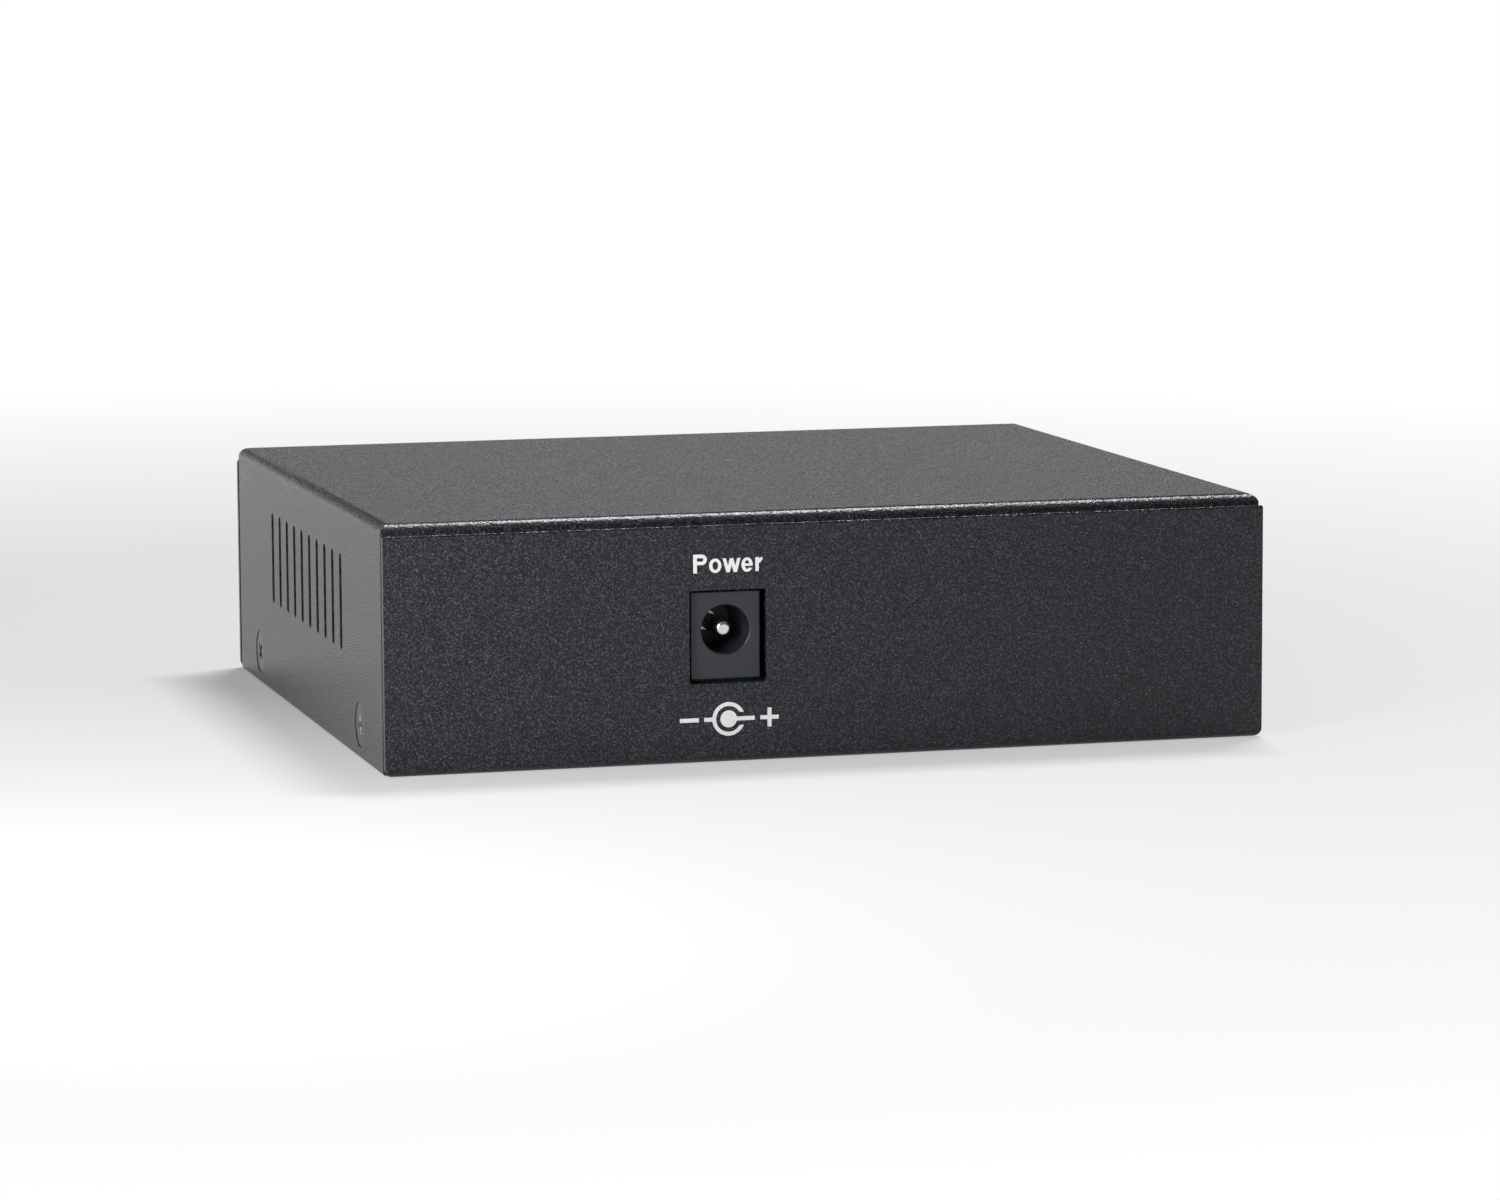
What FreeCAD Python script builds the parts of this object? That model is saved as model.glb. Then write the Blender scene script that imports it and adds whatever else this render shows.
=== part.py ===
import FreeCAD, Part
import math
import os

from FreeCAD import Vector

# A small desktop network switch in a folded steel case. The origin is the middle of the underside, X runs to the
# right as seen from the network sockets, Y runs from the sockets (-) to the power inlet (+), and Z is up.
# All sizes are in millimetres.

# Steel case
case_width = 110.0
case_depth = 98.0
case_height = 30.0
sheet = 0.8
tray_bend = 1.1
tray_height = 28.75
tray_corner = 1.1
inlet_panel_corner = 0.3
socket_panel_corner = 1.1
tray_edge_round = 0.15
floor_half_width = 54.1
relief_width = 0.6
relief_depth = 0.8
cover_bend = 1.35
cover_end_gap = 0.5
cover_bottom_gap = 0.15
cover_edge_round = 0.3
lip_bend = 1.5
lip_height = 5.0
lip_relief_width = 0.6

# Vent slots in the cover's sides
vent_count = 10
vent_pitch = 5.08
vent_width = 1.3
vent_bottom = 12.0
vent_top = 23.85

# Countersunk case screws and the brackets that take them
case_screw_y = 33.6
case_screw_z = 4.25
case_screw_length = 5.0
case_head_radius = 2.65
case_head_rim = 0.1
case_head_sink = 0.03
countersink_radius = 2.8
screw_radius = 1.45
tapped_radius = 1.5
recess_length = 2.6
recess_width = 0.7
recess_depth = 1.1
tapped_depth = 4.0
bracket_width = 12.0
bracket_height = 8.2
bracket_foot = 2.2
bracket_corner = 1.5
collar_radius = 2.3
collar_length = 1.0

# Circuit board, standoffs and board screws
board_top = 9.9
board_thickness = 1.6
board_half_width = 51.5
board_front = -47.2
board_rear = 46.4
board_corner = 1.0
standoff_x = 47.5
standoff_front = -28.5
standoff_rear = 41.5
standoff_flats = 5.5
standoff_shank_radius = 1.6
standoff_bore_floor = 2.3
board_hole_radius = 1.6
board_screw_length = 5.5
board_head_radius = 2.8
board_head_height = 2.0
lead_end = 7.3
lead_hole_room = 0.4

# Network sockets
socket_count = 5
socket_pitch = 17.6
last_socket_x = 41.8
socket_width = 15.6
socket_height = 13.0
socket_length = 14.5
socket_setback = 0.05
socket_window_gap = 0.2
socket_chamfer = 0.3
mouth_width = 11.9
mouth_bottom = 4.1
mouth_top = 10.8
mouth_depth = 12.5
latch_width = 6.4
latch_lever_width = 3.6
latch_shelf = 2.6
latch_floor = 1.3
latch_wall = 2.0
latch_depth = 10.0
peg_radius = 1.5
peg_hole_radius = 1.6
peg_x = 5.7
peg_depth = 8.0

# Socket contacts
contact_count = 8
contact_pitch = 1.02
contact_width = 0.46
contact_thickness = 0.3
contact_channel_half_width = 4.2
contact_channel_top = 11.7
contact_channel_front = 1.3
contact_fold_depth = 2.2
contact_fold_drop = 1.1
contact_nose_depth = 1.6
contact_tip_depth = 9.6
contact_tip_height = 7.4
contact_tail_depths = (15.2, 16.9)
contact_hole_radius = 0.45

# Power inlet
inlet_x = 13.0
inlet_axis_z = 15.95
inlet_face_y = 47.7
inlet_width = 8.7
inlet_height = 10.7
inlet_block_length = 3.4
inlet_length = 14.1
inlet_barrel_radius = 4.0
inlet_edge_round = 0.2
inlet_hole_radius = 3.2
inlet_hole_depth = 9.5
inlet_cut_width = 9.5
inlet_cut_bottom = 9.65
inlet_cut_top = 20.85
inlet_cut_corner = 0.3
pin_radius = 1.0
pin_root_radius = 1.25
pin_tip_y = 46.9
pin_tip_round = 0.6
pin_rivet_radius = 1.5
pin_rivet_length = 0.4
terminal_width = 4.0
terminal_thickness = 0.6
terminal_rise = 2.0
spring_thickness = 0.25
spring_low = -0.35
spring_high = 1.85
spring_seat = 3.7
spring_bulge = 2.4
spring_half_length = 3.7
spring_middle_y = 42.6
spring_shoulder_share = 0.3
spring_shoulder_drop = 0.26
spring_leg_width = 1.2
spring_window_inner = 2.2
spring_window_front = 46.7
spring_window_outer = 4.05
spring_clearance = 0.1

# Status lights
light_columns = (-49.0, -44.0, -39.0)
light_rows = ((14.0, -44.5), (20.5, -40.5))
guide_width = 2.2
guide_tip_radius = 1.1
guide_tip_length = 2.0
guide_hole_radius = 1.25
guide_web = 1.0
guide_web_lift = 1.2
guide_panel_gap = 0.2
guide_peg_radius = 0.8
guide_peg_columns = (-46.5, -41.5)
guide_gap = 0.15
light_size = (1.6, 0.8, 0.6)

# Bent leads of the moulded packages
package_lift = 0.1
package_lead_thickness = 0.2
package_lead_width_share = 0.4
package_shoulder_share = 0.4
package_lead_root = 0.3
package_lead_reach = 0.6
package_lead_foot = 1.0

# Parts on the board
transformer_body = (15.0, 7.2, 5.6)
transformer_y = -20.0
transformer_leads = 12
transformer_pitch = 1.1
switch_chip_body = (12.0, 12.0, 0.9)
switch_chip_at = (8.0, 8.0)
memory_body = (4.9, 3.9, 1.5)
memory_at = (26.0, 5.0)
regulator_places = ((18.0, 26.0), (36.0, 15.0))
small_leads = 4
small_pitch = 1.27
crystal_body = (11.0, 4.6, 3.4)
crystal_at = (-10.0, 8.0)
inductor_side = 7.0
inductor_height = 3.5
inductor_corner = 1.5
inductor_places = ((27.0, 25.0), (45.0, 15.0))
capacitor_radius = 3.15
capacitor_height = 7.7
capacitor_round = 0.5
capacitor_groove = 0.25
capacitor_groove_height = 1.4
capacitor_places = ((31.0, 37.0), (39.0, 37.0))
diode_body = (4.3, 2.6, 2.2)
diode_at = (23.5, 38.0)
chip_size = (1.6, 0.8, 0.8)
chip_ring_radius = 10.5
chip_ring_count = 16
chip_ring_pitch = 3.2

# Places worked out from the sizes above
half_width = case_width / 2
half_depth = case_depth / 2
panel_inside = half_depth - sheet
cover_half_depth = panel_inside - cover_end_gap
socket_face = -half_depth + socket_setback
board_bottom = board_top - board_thickness
inlet_rear = inlet_face_y - inlet_length

# Cutters run past a face by the overcut, and joined solids sink into each other by a hair.
overcut = 1.0
hair = 0.01


def socket_x(index):
    """Middle of one socket, counted from the left of the socket panel."""
    return last_socket_x - (socket_count - 1 - index) * socket_pitch


def contact_offset(index):
    """Sideways place of one contact from the middle of its socket."""
    return (index - (contact_count - 1) / 2) * contact_pitch


def block(x, y, z):
    """Box between a pair of limits along each axis."""
    corner = Vector(x[0], y[0], z[0])
    return Part.makeBox(x[1] - x[0], y[1] - y[0], z[1] - z[0], corner)


def centred_block(centre, size, bottom):
    """Box of a given length, width and height that stands on a level."""
    x = (centre[0] - size[0] / 2, centre[0] + size[0] / 2)
    y = (centre[1] - size[1] / 2, centre[1] + size[1] / 2)
    return block(x, y, (bottom, bottom + size[2]))


def rod(radius, start, direction, length):
    """Round bar from a point along a direction."""
    return Part.makeCylinder(radius, length, Vector(*start), Vector(*direction))


def cone(radius, end_radius, start, direction, length):
    """Tapered round bar from a point along a direction."""
    return Part.makeCone(radius, end_radius, length, Vector(*start), Vector(*direction))


def prism(corners, along):
    """Closed outline of straight edges, pushed along a vector."""
    points = [Vector(*corner) for corner in corners]
    return Part.Face(Part.makePolygon(points + points[:1])).extrude(Vector(*along))


def rounded(solid, radius, chosen):
    """Solid with a round on every edge whose middle passes the test."""
    edges = [edge for edge in solid.Edges if chosen(edge.CenterOfMass)]
    return solid.makeFillet(radius, edges)


def near(value, target):
    """True where two coordinates are the same place."""
    return abs(value - target) < hair


def mirrored(solid, normal):
    """Mirror image of a solid in a plane through the origin."""
    return solid.mirror(Vector(0, 0, 0), Vector(*normal))


def strip_outline(path, thickness):
    """Both sides of a thin bent strip that follows a path, with mitred bends."""
    steps = [(b[0] - a[0], b[1] - a[1]) for a, b in zip(path, path[1:])]
    normals = [(-v / math.hypot(u, v), u / math.hypot(u, v)) for u, v in steps]
    before = normals[:1] + normals
    after = normals + normals[-1:]
    left = []
    right = []
    for point, m, n in zip(path, before, after):
        reach = thickness / 2 / (1 + m[0] * n[0] + m[1] * n[1])
        offset = ((m[0] + n[0]) * reach, (m[1] + n[1]) * reach)
        left.append((point[0] + offset[0], point[1] + offset[1]))
        right.append((point[0] - offset[0], point[1] - offset[1]))
    return left + right[::-1]


def cross_recess(tip, direction, side):
    """Cross-shaped driver recess, sunk from a screw head's face along a direction."""
    axis = Vector(*direction)
    across = Vector(*side)
    arms = []
    for arm in (across, axis.cross(across)):
        other = axis.cross(arm)
        corner = Vector(*tip) - arm * (recess_length / 2) - other * (recess_width / 2)
        outline = [
            corner,
            corner + arm * recess_length,
            corner + arm * recess_length + other * recess_width,
            corner + other * recess_width,
        ]
        arms.append(prism(outline, axis * recess_depth))
    return arms[0].fuse(arms[1])


def leaded_package(centre, size, leads_per_side, pitch):
    """Moulded package with a row of bent leads along both long sides, standing on the board."""
    length, width, height = size
    body = centred_block(centre, (length, width, height), board_top + package_lift)
    lead_width = pitch * package_lead_width_share
    shoulder = board_top + height * package_shoulder_share
    sole = board_top + package_lead_thickness / 2
    for index in range(leads_per_side):
        x = centre[0] + (index - (leads_per_side - 1) / 2) * pitch - lead_width / 2
        for side in (-1, 1):
            edge = centre[1] + side * width / 2
            knee = edge + side * package_lead_reach
            path = [
                (edge - side * package_lead_root, shoulder),
                (knee, shoulder),
                (knee, sole),
                (knee + side * package_lead_foot, sole),
            ]
            outline = [(x, y, z) for y, z in strip_outline(path, package_lead_thickness)]
            body = body.fuse(prism(outline, (lead_width, 0, 0)))
    return body.removeSplitter()


def base_tray():
    """Floor, socket panel and inlet panel of one folded sheet."""
    outer = block((-half_width, half_width), (-half_depth, half_depth), (0, tray_height))
    outer = rounded(outer, tray_bend, lambda p: near(p.z, 0) and near(abs(p.y), half_depth))
    hollow = block((-case_width, case_width), (-panel_inside, panel_inside), (sheet, case_height))
    hollow = rounded(hollow, tray_bend - sheet, lambda p: near(p.z, sheet) and near(abs(p.y), panel_inside))
    tray = outer.cut(hollow)

    # The panels have round lower corners. The upper ones are round on the socket panel and nearly square on the other.
    inlet_half = panel_outline((0, case_depth), inlet_panel_corner)
    socket_half = panel_outline((-case_depth, 0), socket_panel_corner)
    tray = tray.common(inlet_half.fuse(socket_half))

    # The floor is narrower than the panels, so that the cover's sides fit between them.
    for side in (-1, 1):
        strip = sorted((side * floor_half_width, side * case_width))
        tray = tray.cut(block(strip, (-panel_inside, panel_inside), (-overcut, case_height)))
        for end in (-1, 1):
            notch_x = sorted((side * (floor_half_width - relief_width), side * case_width))
            notch_y = sorted((end * (panel_inside - relief_depth), end * panel_inside))
            tray = tray.cut(block(notch_x, notch_y, (-overcut, tray_bend)))

    # Cut-outs in the panels
    for index in range(socket_count):
        tray = tray.cut(socket_window(socket_x(index)))
    for x in light_columns:
        for z, _ in light_rows:
            tray = tray.cut(rod(guide_hole_radius, (x, -case_depth, z), (0, 1, 0), case_depth))
    inlet_x_limits = (inlet_x - inlet_cut_width / 2, inlet_x + inlet_cut_width / 2)
    inlet_cut = block(inlet_x_limits, (0, case_depth), (inlet_cut_bottom, inlet_cut_top))
    inlet_cut = rounded(inlet_cut, inlet_cut_corner, lambda p: near(p.y, half_depth))
    tray = tray.cut(inlet_cut)

    # Paint rounds the outer rims of both panels and of their cut-outs.
    def on_rim(p):
        return near(abs(p.y), half_depth) and p.z > tray_bend + hair

    tray = rounded(tray, tray_edge_round, on_rim)

    for x, y in standoff_places():
        tray = tray.cut(rod(standoff_shank_radius, (x, y, -overcut), (0, 0, 1), overcut + sheet))
    return tray.removeSplitter()


def panel_outline(span, upper_corner):
    """Outline of one panel, as a solid that runs along Y."""
    outline = block((-half_width, half_width), span, (0, tray_height))
    outline = rounded(outline, tray_corner, lambda p: near(p.z, 0) and near(abs(p.x), half_width))
    return rounded(outline, upper_corner, lambda p: near(p.z, tray_height) and near(abs(p.x), half_width))


def socket_window(x):
    """Opening of the socket panel around one socket."""
    half = socket_width / 2 + socket_window_gap
    bottom = board_top - socket_window_gap
    top = board_top + socket_height + socket_window_gap
    return block((x - half, x + half), (-case_depth, -panel_inside + hair), (bottom, top))


def screw_bracket():
    """Bracket on the floor's right edge, with a foot and a pressed collar for the thread."""
    inside = floor_half_width - sheet
    half = bracket_width / 2
    outer = block((inside - bracket_foot, floor_half_width), (-half, half), (sheet, bracket_height))
    outer = rounded(outer, tray_bend, lambda p: near(p.z, sheet) and near(p.x, floor_half_width))
    outer = rounded(outer, bracket_corner, lambda p: near(p.z, bracket_height) and near(abs(p.y), half))
    hollow = block((0, inside), (-bracket_width, bracket_width), (2 * sheet, case_height))
    hollow = rounded(hollow, tray_bend - sheet, lambda p: near(p.z, 2 * sheet) and near(p.x, inside))
    collar = rod(collar_radius, (inside - collar_length, 0, case_screw_z), (1, 0, 0), collar_length + hair)
    return outer.cut(hollow).fuse(collar)


def screw_brackets():
    """Four folded brackets, welded to the tray's floor, that take the case screws."""
    brackets = []
    for side in (-1, 1):
        for end in (-1, 1):
            bracket = screw_bracket()
            if side < 0:
                bracket = mirrored(bracket, (1, 0, 0))
            bracket.translate(Vector(0, end * case_screw_y, 0))
            bracket = bracket.cut(tapped_hole(side, end * case_screw_y))
            brackets.append(bracket.removeSplitter())
    return Part.makeCompound(brackets)


def tapped_hole(side, y):
    """Hole through a bracket and its collar, with a countersink for the tip of the screw's head."""
    mouth = (side * half_width, y, case_screw_z)
    hole = rod(tapped_radius, mouth, (-side, 0, 0), tapped_depth)
    sink_depth = countersink_radius - tapped_radius
    sink = cone(countersink_radius, tapped_radius, mouth, (-side, 0, 0), sink_depth)
    return hole.fuse(sink)


def cover_skin(inset, bottom):
    """Box within the cover's outer face by an inset, rounded along both sides and across both ends of its top."""
    width = half_width - inset
    depth = cover_half_depth - inset
    top = case_height - inset
    box = block((-width, width), (-depth, depth), (bottom, top))
    lengthwise = rounded(box, cover_bend - inset, lambda p: near(p.z, top) and near(abs(p.x), width))
    crosswise = rounded(box, lip_bend - inset, lambda p: near(p.z, top) and near(abs(p.y), depth))
    return lengthwise.common(crosswise)


def top_cover():
    """Top, both sides and two end lips of one folded sheet, with vent slots and countersunk screw holes."""
    inside = half_width - sheet
    cover = cover_skin(0, cover_bottom_gap)

    # Paint rounds the upright edges and the lower edges of the sides.
    box = block(
        (-half_width, half_width), (-cover_half_depth, cover_half_depth), (cover_bottom_gap, case_height)
    )
    upright = rounded(box, cover_edge_round, lambda p: near(abs(p.x), half_width) and near(abs(p.y), cover_half_depth))
    foot = rounded(box, cover_edge_round, lambda p: near(abs(p.x), half_width) and near(p.z, cover_bottom_gap))
    cover = cover.common(upright).common(foot).cut(cover_skin(sheet, -overcut))

    # At each end only a lip is left under the top, which stands behind a panel, with a relief at its two ends.
    through = (-case_depth, case_depth)
    cover = cover.cut(block((-inside, inside), through, (-overcut, case_height - lip_height)))
    for x in ((-inside, lip_relief_width - inside), (inside - lip_relief_width, inside)):
        cover = cover.cut(block(x, through, (-overcut, case_height - lip_bend)))

    for side in (-1, 1):
        for index in range(vent_count):
            y = (index - (vent_count - 1) / 2) * vent_pitch
            cover = cover.cut(vent_slot(side, y))
        for end in (-1, 1):
            cover = cover.cut(tapped_hole(side, end * case_screw_y))
            clear = countersink_radius - sheet
            start = (side * half_width, end * case_screw_y, case_screw_z)
            cover = cover.cut(rod(clear, start, (-side, 0, 0), sheet + overcut))
    return cover.removeSplitter()


def vent_slot(side, y):
    """One upright slot with round ends, through a side of the cover."""
    end = vent_width / 2
    start = side * (half_width - sheet - overcut)
    length = sheet + 2 * overcut
    x = sorted((start, start + side * length))
    slot = block(x, (y - end, y + end), (vent_bottom + end, vent_top - end))
    for z in (vent_bottom + end, vent_top - end):
        slot = slot.fuse(rod(end, (start, y, z), (side, 0, 0), length))
    return slot


def case_screws():
    """Four flat-head screws that hold the cover's sides to the brackets."""
    screws = []
    for side in (-1, 1):
        for end in (-1, 1):
            y = end * case_screw_y
            inward = (-side, 0, 0)
            face = half_width - case_head_sink
            neck = case_head_radius - screw_radius
            rim = rod(case_head_radius, (side * face, y, case_screw_z), inward, case_head_rim)
            below = face - case_head_rim
            head = cone(case_head_radius, screw_radius, (side * below, y, case_screw_z), inward, neck)
            shank = rod(screw_radius, (side * below, y, case_screw_z), inward, case_screw_length)
            screw = rim.fuse(head).fuse(shank)
            screw = screw.cut(cross_recess((side * face, y, case_screw_z), inward, (0, 0, 1)))
            screws.append(screw.removeSplitter())
    return Part.makeCompound(screws)


def standoff_places():
    """Middles of the four standoffs that carry the board."""
    return [(side * standoff_x, y) for side in (-1, 1) for y in (standoff_front, standoff_rear)]


def board_standoffs():
    """Four hexagonal standoffs pressed into the tray's floor."""
    standoffs = []
    corner_radius = standoff_flats / math.sqrt(3)
    for x, y in standoff_places():
        angles = [math.radians(60 * turn) for turn in range(6)]
        hexagon = [(x + corner_radius * math.cos(a), y + corner_radius * math.sin(a), sheet) for a in angles]
        body = prism(hexagon, (0, 0, board_bottom - sheet))
        body = body.fuse(rod(standoff_shank_radius, (x, y, 0), (0, 0, 1), sheet))
        bore = rod(tapped_radius, (x, y, standoff_bore_floor), (0, 0, 1), board_bottom)
        standoffs.append(body.cut(bore))
    return Part.makeCompound(standoffs)


def board_screws():
    """Four pan-head screws that hold the board down."""
    screws = []
    for x, y in standoff_places():
        top = board_top + board_head_height
        head = rod(board_head_radius, (x, y, board_top), (0, 0, 1), board_head_height)
        head = rounded(head, board_head_height / 2, lambda p: near(p.z, top))
        shank = rod(screw_radius, (x, y, board_top + hair), (0, 0, -1), board_screw_length)
        screw = head.fuse(shank).cut(cross_recess((x, y, top), (0, 0, -1), (1, 0, 0)))
        screws.append(screw.removeSplitter())
    return Part.makeCompound(screws)


def circuit_board():
    """Bare board with its holes for screws, socket pegs and leads."""
    span = (-board_half_width, board_half_width)
    board = block(span, (board_front, board_rear), (board_bottom, board_top))
    board = rounded(board, board_corner, lambda p: near(p.z, (board_top + board_bottom) / 2))
    low = board_bottom - overcut
    through = board_thickness + 2 * overcut
    holes = [rod(board_hole_radius, (x, y, low), (0, 0, 1), through) for x, y in standoff_places()]
    for index in range(socket_count):
        x = socket_x(index)
        for side in (-1, 1):
            place = (x + side * peg_x, socket_face + peg_depth, low)
            holes.append(rod(peg_hole_radius, place, (0, 0, 1), through))
        for contact in range(contact_count):
            tail = contact_tail_depths[contact % 2]
            place = (x + contact_offset(contact), socket_face + tail, low)
            holes.append(rod(contact_hole_radius, place, (0, 0, 1), through))
    for x in guide_peg_columns:
        holes.append(rod(guide_peg_radius, (x, guide_web_y(), low), (0, 0, 1), through))
    terminal = (terminal_width + lead_hole_room, terminal_thickness + lead_hole_room, through)
    holes.append(centred_block(terminal_foot(), terminal, low))
    leg = (spring_thickness + lead_hole_room, spring_leg_width + lead_hole_room, through)
    holes.append(centred_block(spring_foot(), leg, low))
    return board.cut(Part.makeCompound(holes))


def socket_housing(x):
    """Moulded housing of one network socket, latch side down, on two board pegs."""
    low = board_top
    face = socket_face
    half = socket_width / 2
    body = block((x - half, x + half), (face, face + socket_length), (low, low + socket_height))
    front_edges = [edge for edge in body.Edges if near(edge.CenterOfMass.y, face)]
    body = body.makeChamfer(socket_chamfer, front_edges)

    def room(width, depth, z):
        return block((x - width / 2, x + width / 2), (face + depth[0], face + depth[1]), (low + z[0], low + z[1]))

    body = body.cut(room(mouth_width, (-overcut, mouth_depth), (mouth_bottom, mouth_top)))
    body = body.cut(room(latch_width, (-overcut, latch_depth), (latch_shelf, mouth_bottom + hair)))
    body = body.cut(room(latch_lever_width, (-overcut, latch_depth), (latch_floor, latch_shelf + hair)))
    body = body.cut(room(latch_width, (latch_wall, latch_depth), (latch_floor, mouth_bottom)))
    channel = (contact_channel_front, socket_length + overcut)
    body = body.cut(room(2 * contact_channel_half_width, channel, (mouth_top - hair, contact_channel_top)))
    for side in (-1, 1):
        place = (x + side * peg_x, face + peg_depth, lead_end)
        body = body.fuse(rod(peg_radius, place, (0, 0, 1), low - lead_end + hair))
    return body.removeSplitter()


def socket_contacts(x):
    """Eight spring wires of one socket: tail, run along the roof, fold, and slope into the mouth."""
    run = board_top + contact_channel_top - contact_thickness / 2
    wires = []
    for index in range(contact_count):
        tail = contact_tail_depths[index % 2]
        path = [
            (socket_face + tail, lead_end),
            (socket_face + tail, run),
            (socket_face + contact_fold_depth, run),
            (socket_face + contact_nose_depth, run - contact_fold_drop / 2),
            (socket_face + contact_fold_depth, run - contact_fold_drop),
            (socket_face + contact_tip_depth, board_top + contact_tip_height),
        ]
        left = x + contact_offset(index) - contact_width / 2
        outline = [(left, y, z) for y, z in strip_outline(path, contact_thickness)]
        wires.append(prism(outline, (contact_width, 0, 0)))
    return Part.makeCompound(wires)


def inlet_housing():
    """Moulded housing of the power inlet: a square front block, and a round-topped body behind it."""
    half = inlet_width / 2
    top = board_top + inlet_height
    shoulder = inlet_face_y - inlet_block_length
    front = block((inlet_x - half, inlet_x + half), (shoulder, inlet_face_y), (board_top, top))
    front = rounded(front, inlet_edge_round, lambda p: near(p.y, inlet_face_y))
    radius = inlet_barrel_radius
    rear = block((inlet_x - radius, inlet_x + radius), (inlet_rear, shoulder + hair), (board_top, inlet_axis_z))
    barrel = rod(radius, (inlet_x, inlet_rear, inlet_axis_z), (0, 1, 0), shoulder + hair - inlet_rear)
    body = front.fuse(rear).fuse(barrel)
    hole_end = inlet_face_y - inlet_hole_depth
    body = body.cut(rod(inlet_hole_radius, (inlet_x, hole_end, inlet_axis_z), (0, 1, 0), case_depth))
    body = body.cut(rod(pin_root_radius, (inlet_x, 0, inlet_axis_z), (0, 1, 0), hole_end))

    # A window in the side of the hole holds the spring, and a groove below it leads the spring's leg down.
    window_x = (inlet_x + spring_window_inner, inlet_x + spring_window_outer)
    low = inlet_axis_z + spring_low - spring_clearance
    high = inlet_axis_z + spring_high + spring_clearance
    body = body.cut(block(window_x, (hole_end, spring_window_front), (low, high)))
    foot_x, foot_y = spring_foot()
    groove_x = (foot_x - spring_thickness / 2, case_width)
    groove_y = (foot_y - spring_leg_width / 2 - spring_clearance, foot_y + spring_leg_width / 2 + spring_clearance)
    body = body.cut(block(groove_x, groove_y, (0, low + hair)))
    return body.removeSplitter()


def inlet_pin():
    """Centre pin of the power inlet: round tip, thicker root in the housing, and a rivet head behind the terminal."""
    tail = inlet_rear - terminal_thickness
    root_end = inlet_face_y - inlet_hole_depth
    pin = rod(pin_radius, (inlet_x, tail, inlet_axis_z), (0, 1, 0), pin_tip_y - tail)
    pin = rounded(pin, pin_tip_round, lambda p: near(p.y, pin_tip_y))
    root = rod(pin_root_radius, (inlet_x, tail, inlet_axis_z), (0, 1, 0), root_end - tail)
    rivet = rod(pin_rivet_radius, (inlet_x, tail, inlet_axis_z), (0, -1, 0), pin_rivet_length)
    return pin.fuse(root).fuse(rivet).removeSplitter()


def terminal_foot():
    """Where the pin's terminal goes through the board."""
    return (inlet_x, inlet_rear - terminal_thickness / 2)


def inlet_terminal():
    """Flat terminal riveted to the back of the centre pin."""
    size = (terminal_width, terminal_thickness, inlet_axis_z + terminal_rise - lead_end)
    strip = centred_block(terminal_foot(), size, lead_end)
    return strip.cut(rod(pin_root_radius, (inlet_x, 0, inlet_axis_z), (0, 1, 0), case_depth))


def spring_foot():
    """Where the side spring's leg goes through the board."""
    rear = spring_middle_y - spring_half_length
    return (inlet_x + spring_seat, rear + spring_leg_width / 2)


def inlet_spring():
    """Bowed leaf spring at the side of the plug hole, with a leg down to the board."""
    seat = inlet_x + spring_seat
    bulge = inlet_x + spring_bulge
    shoulder = bulge + spring_shoulder_drop
    shoulder_length = spring_half_length * spring_shoulder_share
    path = [
        (seat, spring_middle_y - spring_half_length),
        (seat, spring_middle_y - spring_half_length + spring_leg_width),
        (shoulder, spring_middle_y - shoulder_length),
        (bulge, spring_middle_y),
        (shoulder, spring_middle_y + shoulder_length),
        (seat, spring_middle_y + spring_half_length),
    ]
    low = inlet_axis_z + spring_low
    outline = [(x, y, low) for x, y in strip_outline(path, spring_thickness)]
    leaf = prism(outline, (0, 0, spring_high - spring_low))
    leg = centred_block(spring_foot(), (spring_thickness, spring_leg_width, low + hair - lead_end), lead_end)
    return leaf.fuse(leg).removeSplitter()


def guide_web_y():
    """Middle of the web that joins the light guide's bars."""
    return light_rows[0][1] + guide_width / 2 + guide_web / 2


def light_guide():
    """One clear moulding with six bent bars that lead light from the board to the socket panel."""
    half = guide_width / 2
    foot = board_top + light_size[2] + guide_gap
    web_bottom = board_top + guide_web_lift
    front = -panel_inside + guide_panel_gap
    left = light_columns[0] - half
    right = light_columns[-1] + half
    web_y = (guide_web_y() - guide_web / 2 - hair, guide_web_y() + guide_web / 2)
    guide = block((left, right), web_y, (web_bottom, light_rows[1][0]))
    for x in light_columns:
        for z, y in light_rows:
            corners = [
                (x - half, y - half, foot),
                (x - half, y + half, foot),
                (x - half, y + half, z - half),
                (x - half, y - half, z + half),
                (x - half, front, z + half),
                (x - half, front, z - half),
                (x - half, y - half, z - half),
            ]
            tip = rod(guide_tip_radius, (x, socket_face, z), (0, 1, 0), guide_tip_length)
            guide = guide.fuse(prism(corners, (guide_width, 0, 0))).fuse(tip)
    for x in guide_peg_columns:
        peg = rod(guide_peg_radius, (x, guide_web_y(), board_bottom), (0, 0, 1), web_bottom + hair - board_bottom)
        guide = guide.fuse(peg)
    return guide.removeSplitter()


def status_lights():
    """Six small light-emitting chips on the board, one under each bar of the light guide."""
    places = [(x, y) for x in light_columns for _, y in light_rows]
    return Part.makeCompound([centred_block(place, light_size, board_top) for place in places])


def switch_chip():
    """Flat square network chip."""
    return centred_block(switch_chip_at, switch_chip_body, board_top)


def crystal():
    """Metal can of the clock crystal, with round ends."""
    can = centred_block(crystal_at, crystal_body, board_top)
    middle = board_top + crystal_body[2] / 2
    return rounded(can, crystal_body[1] / 2 - hair, lambda p: near(p.z, middle))


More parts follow.
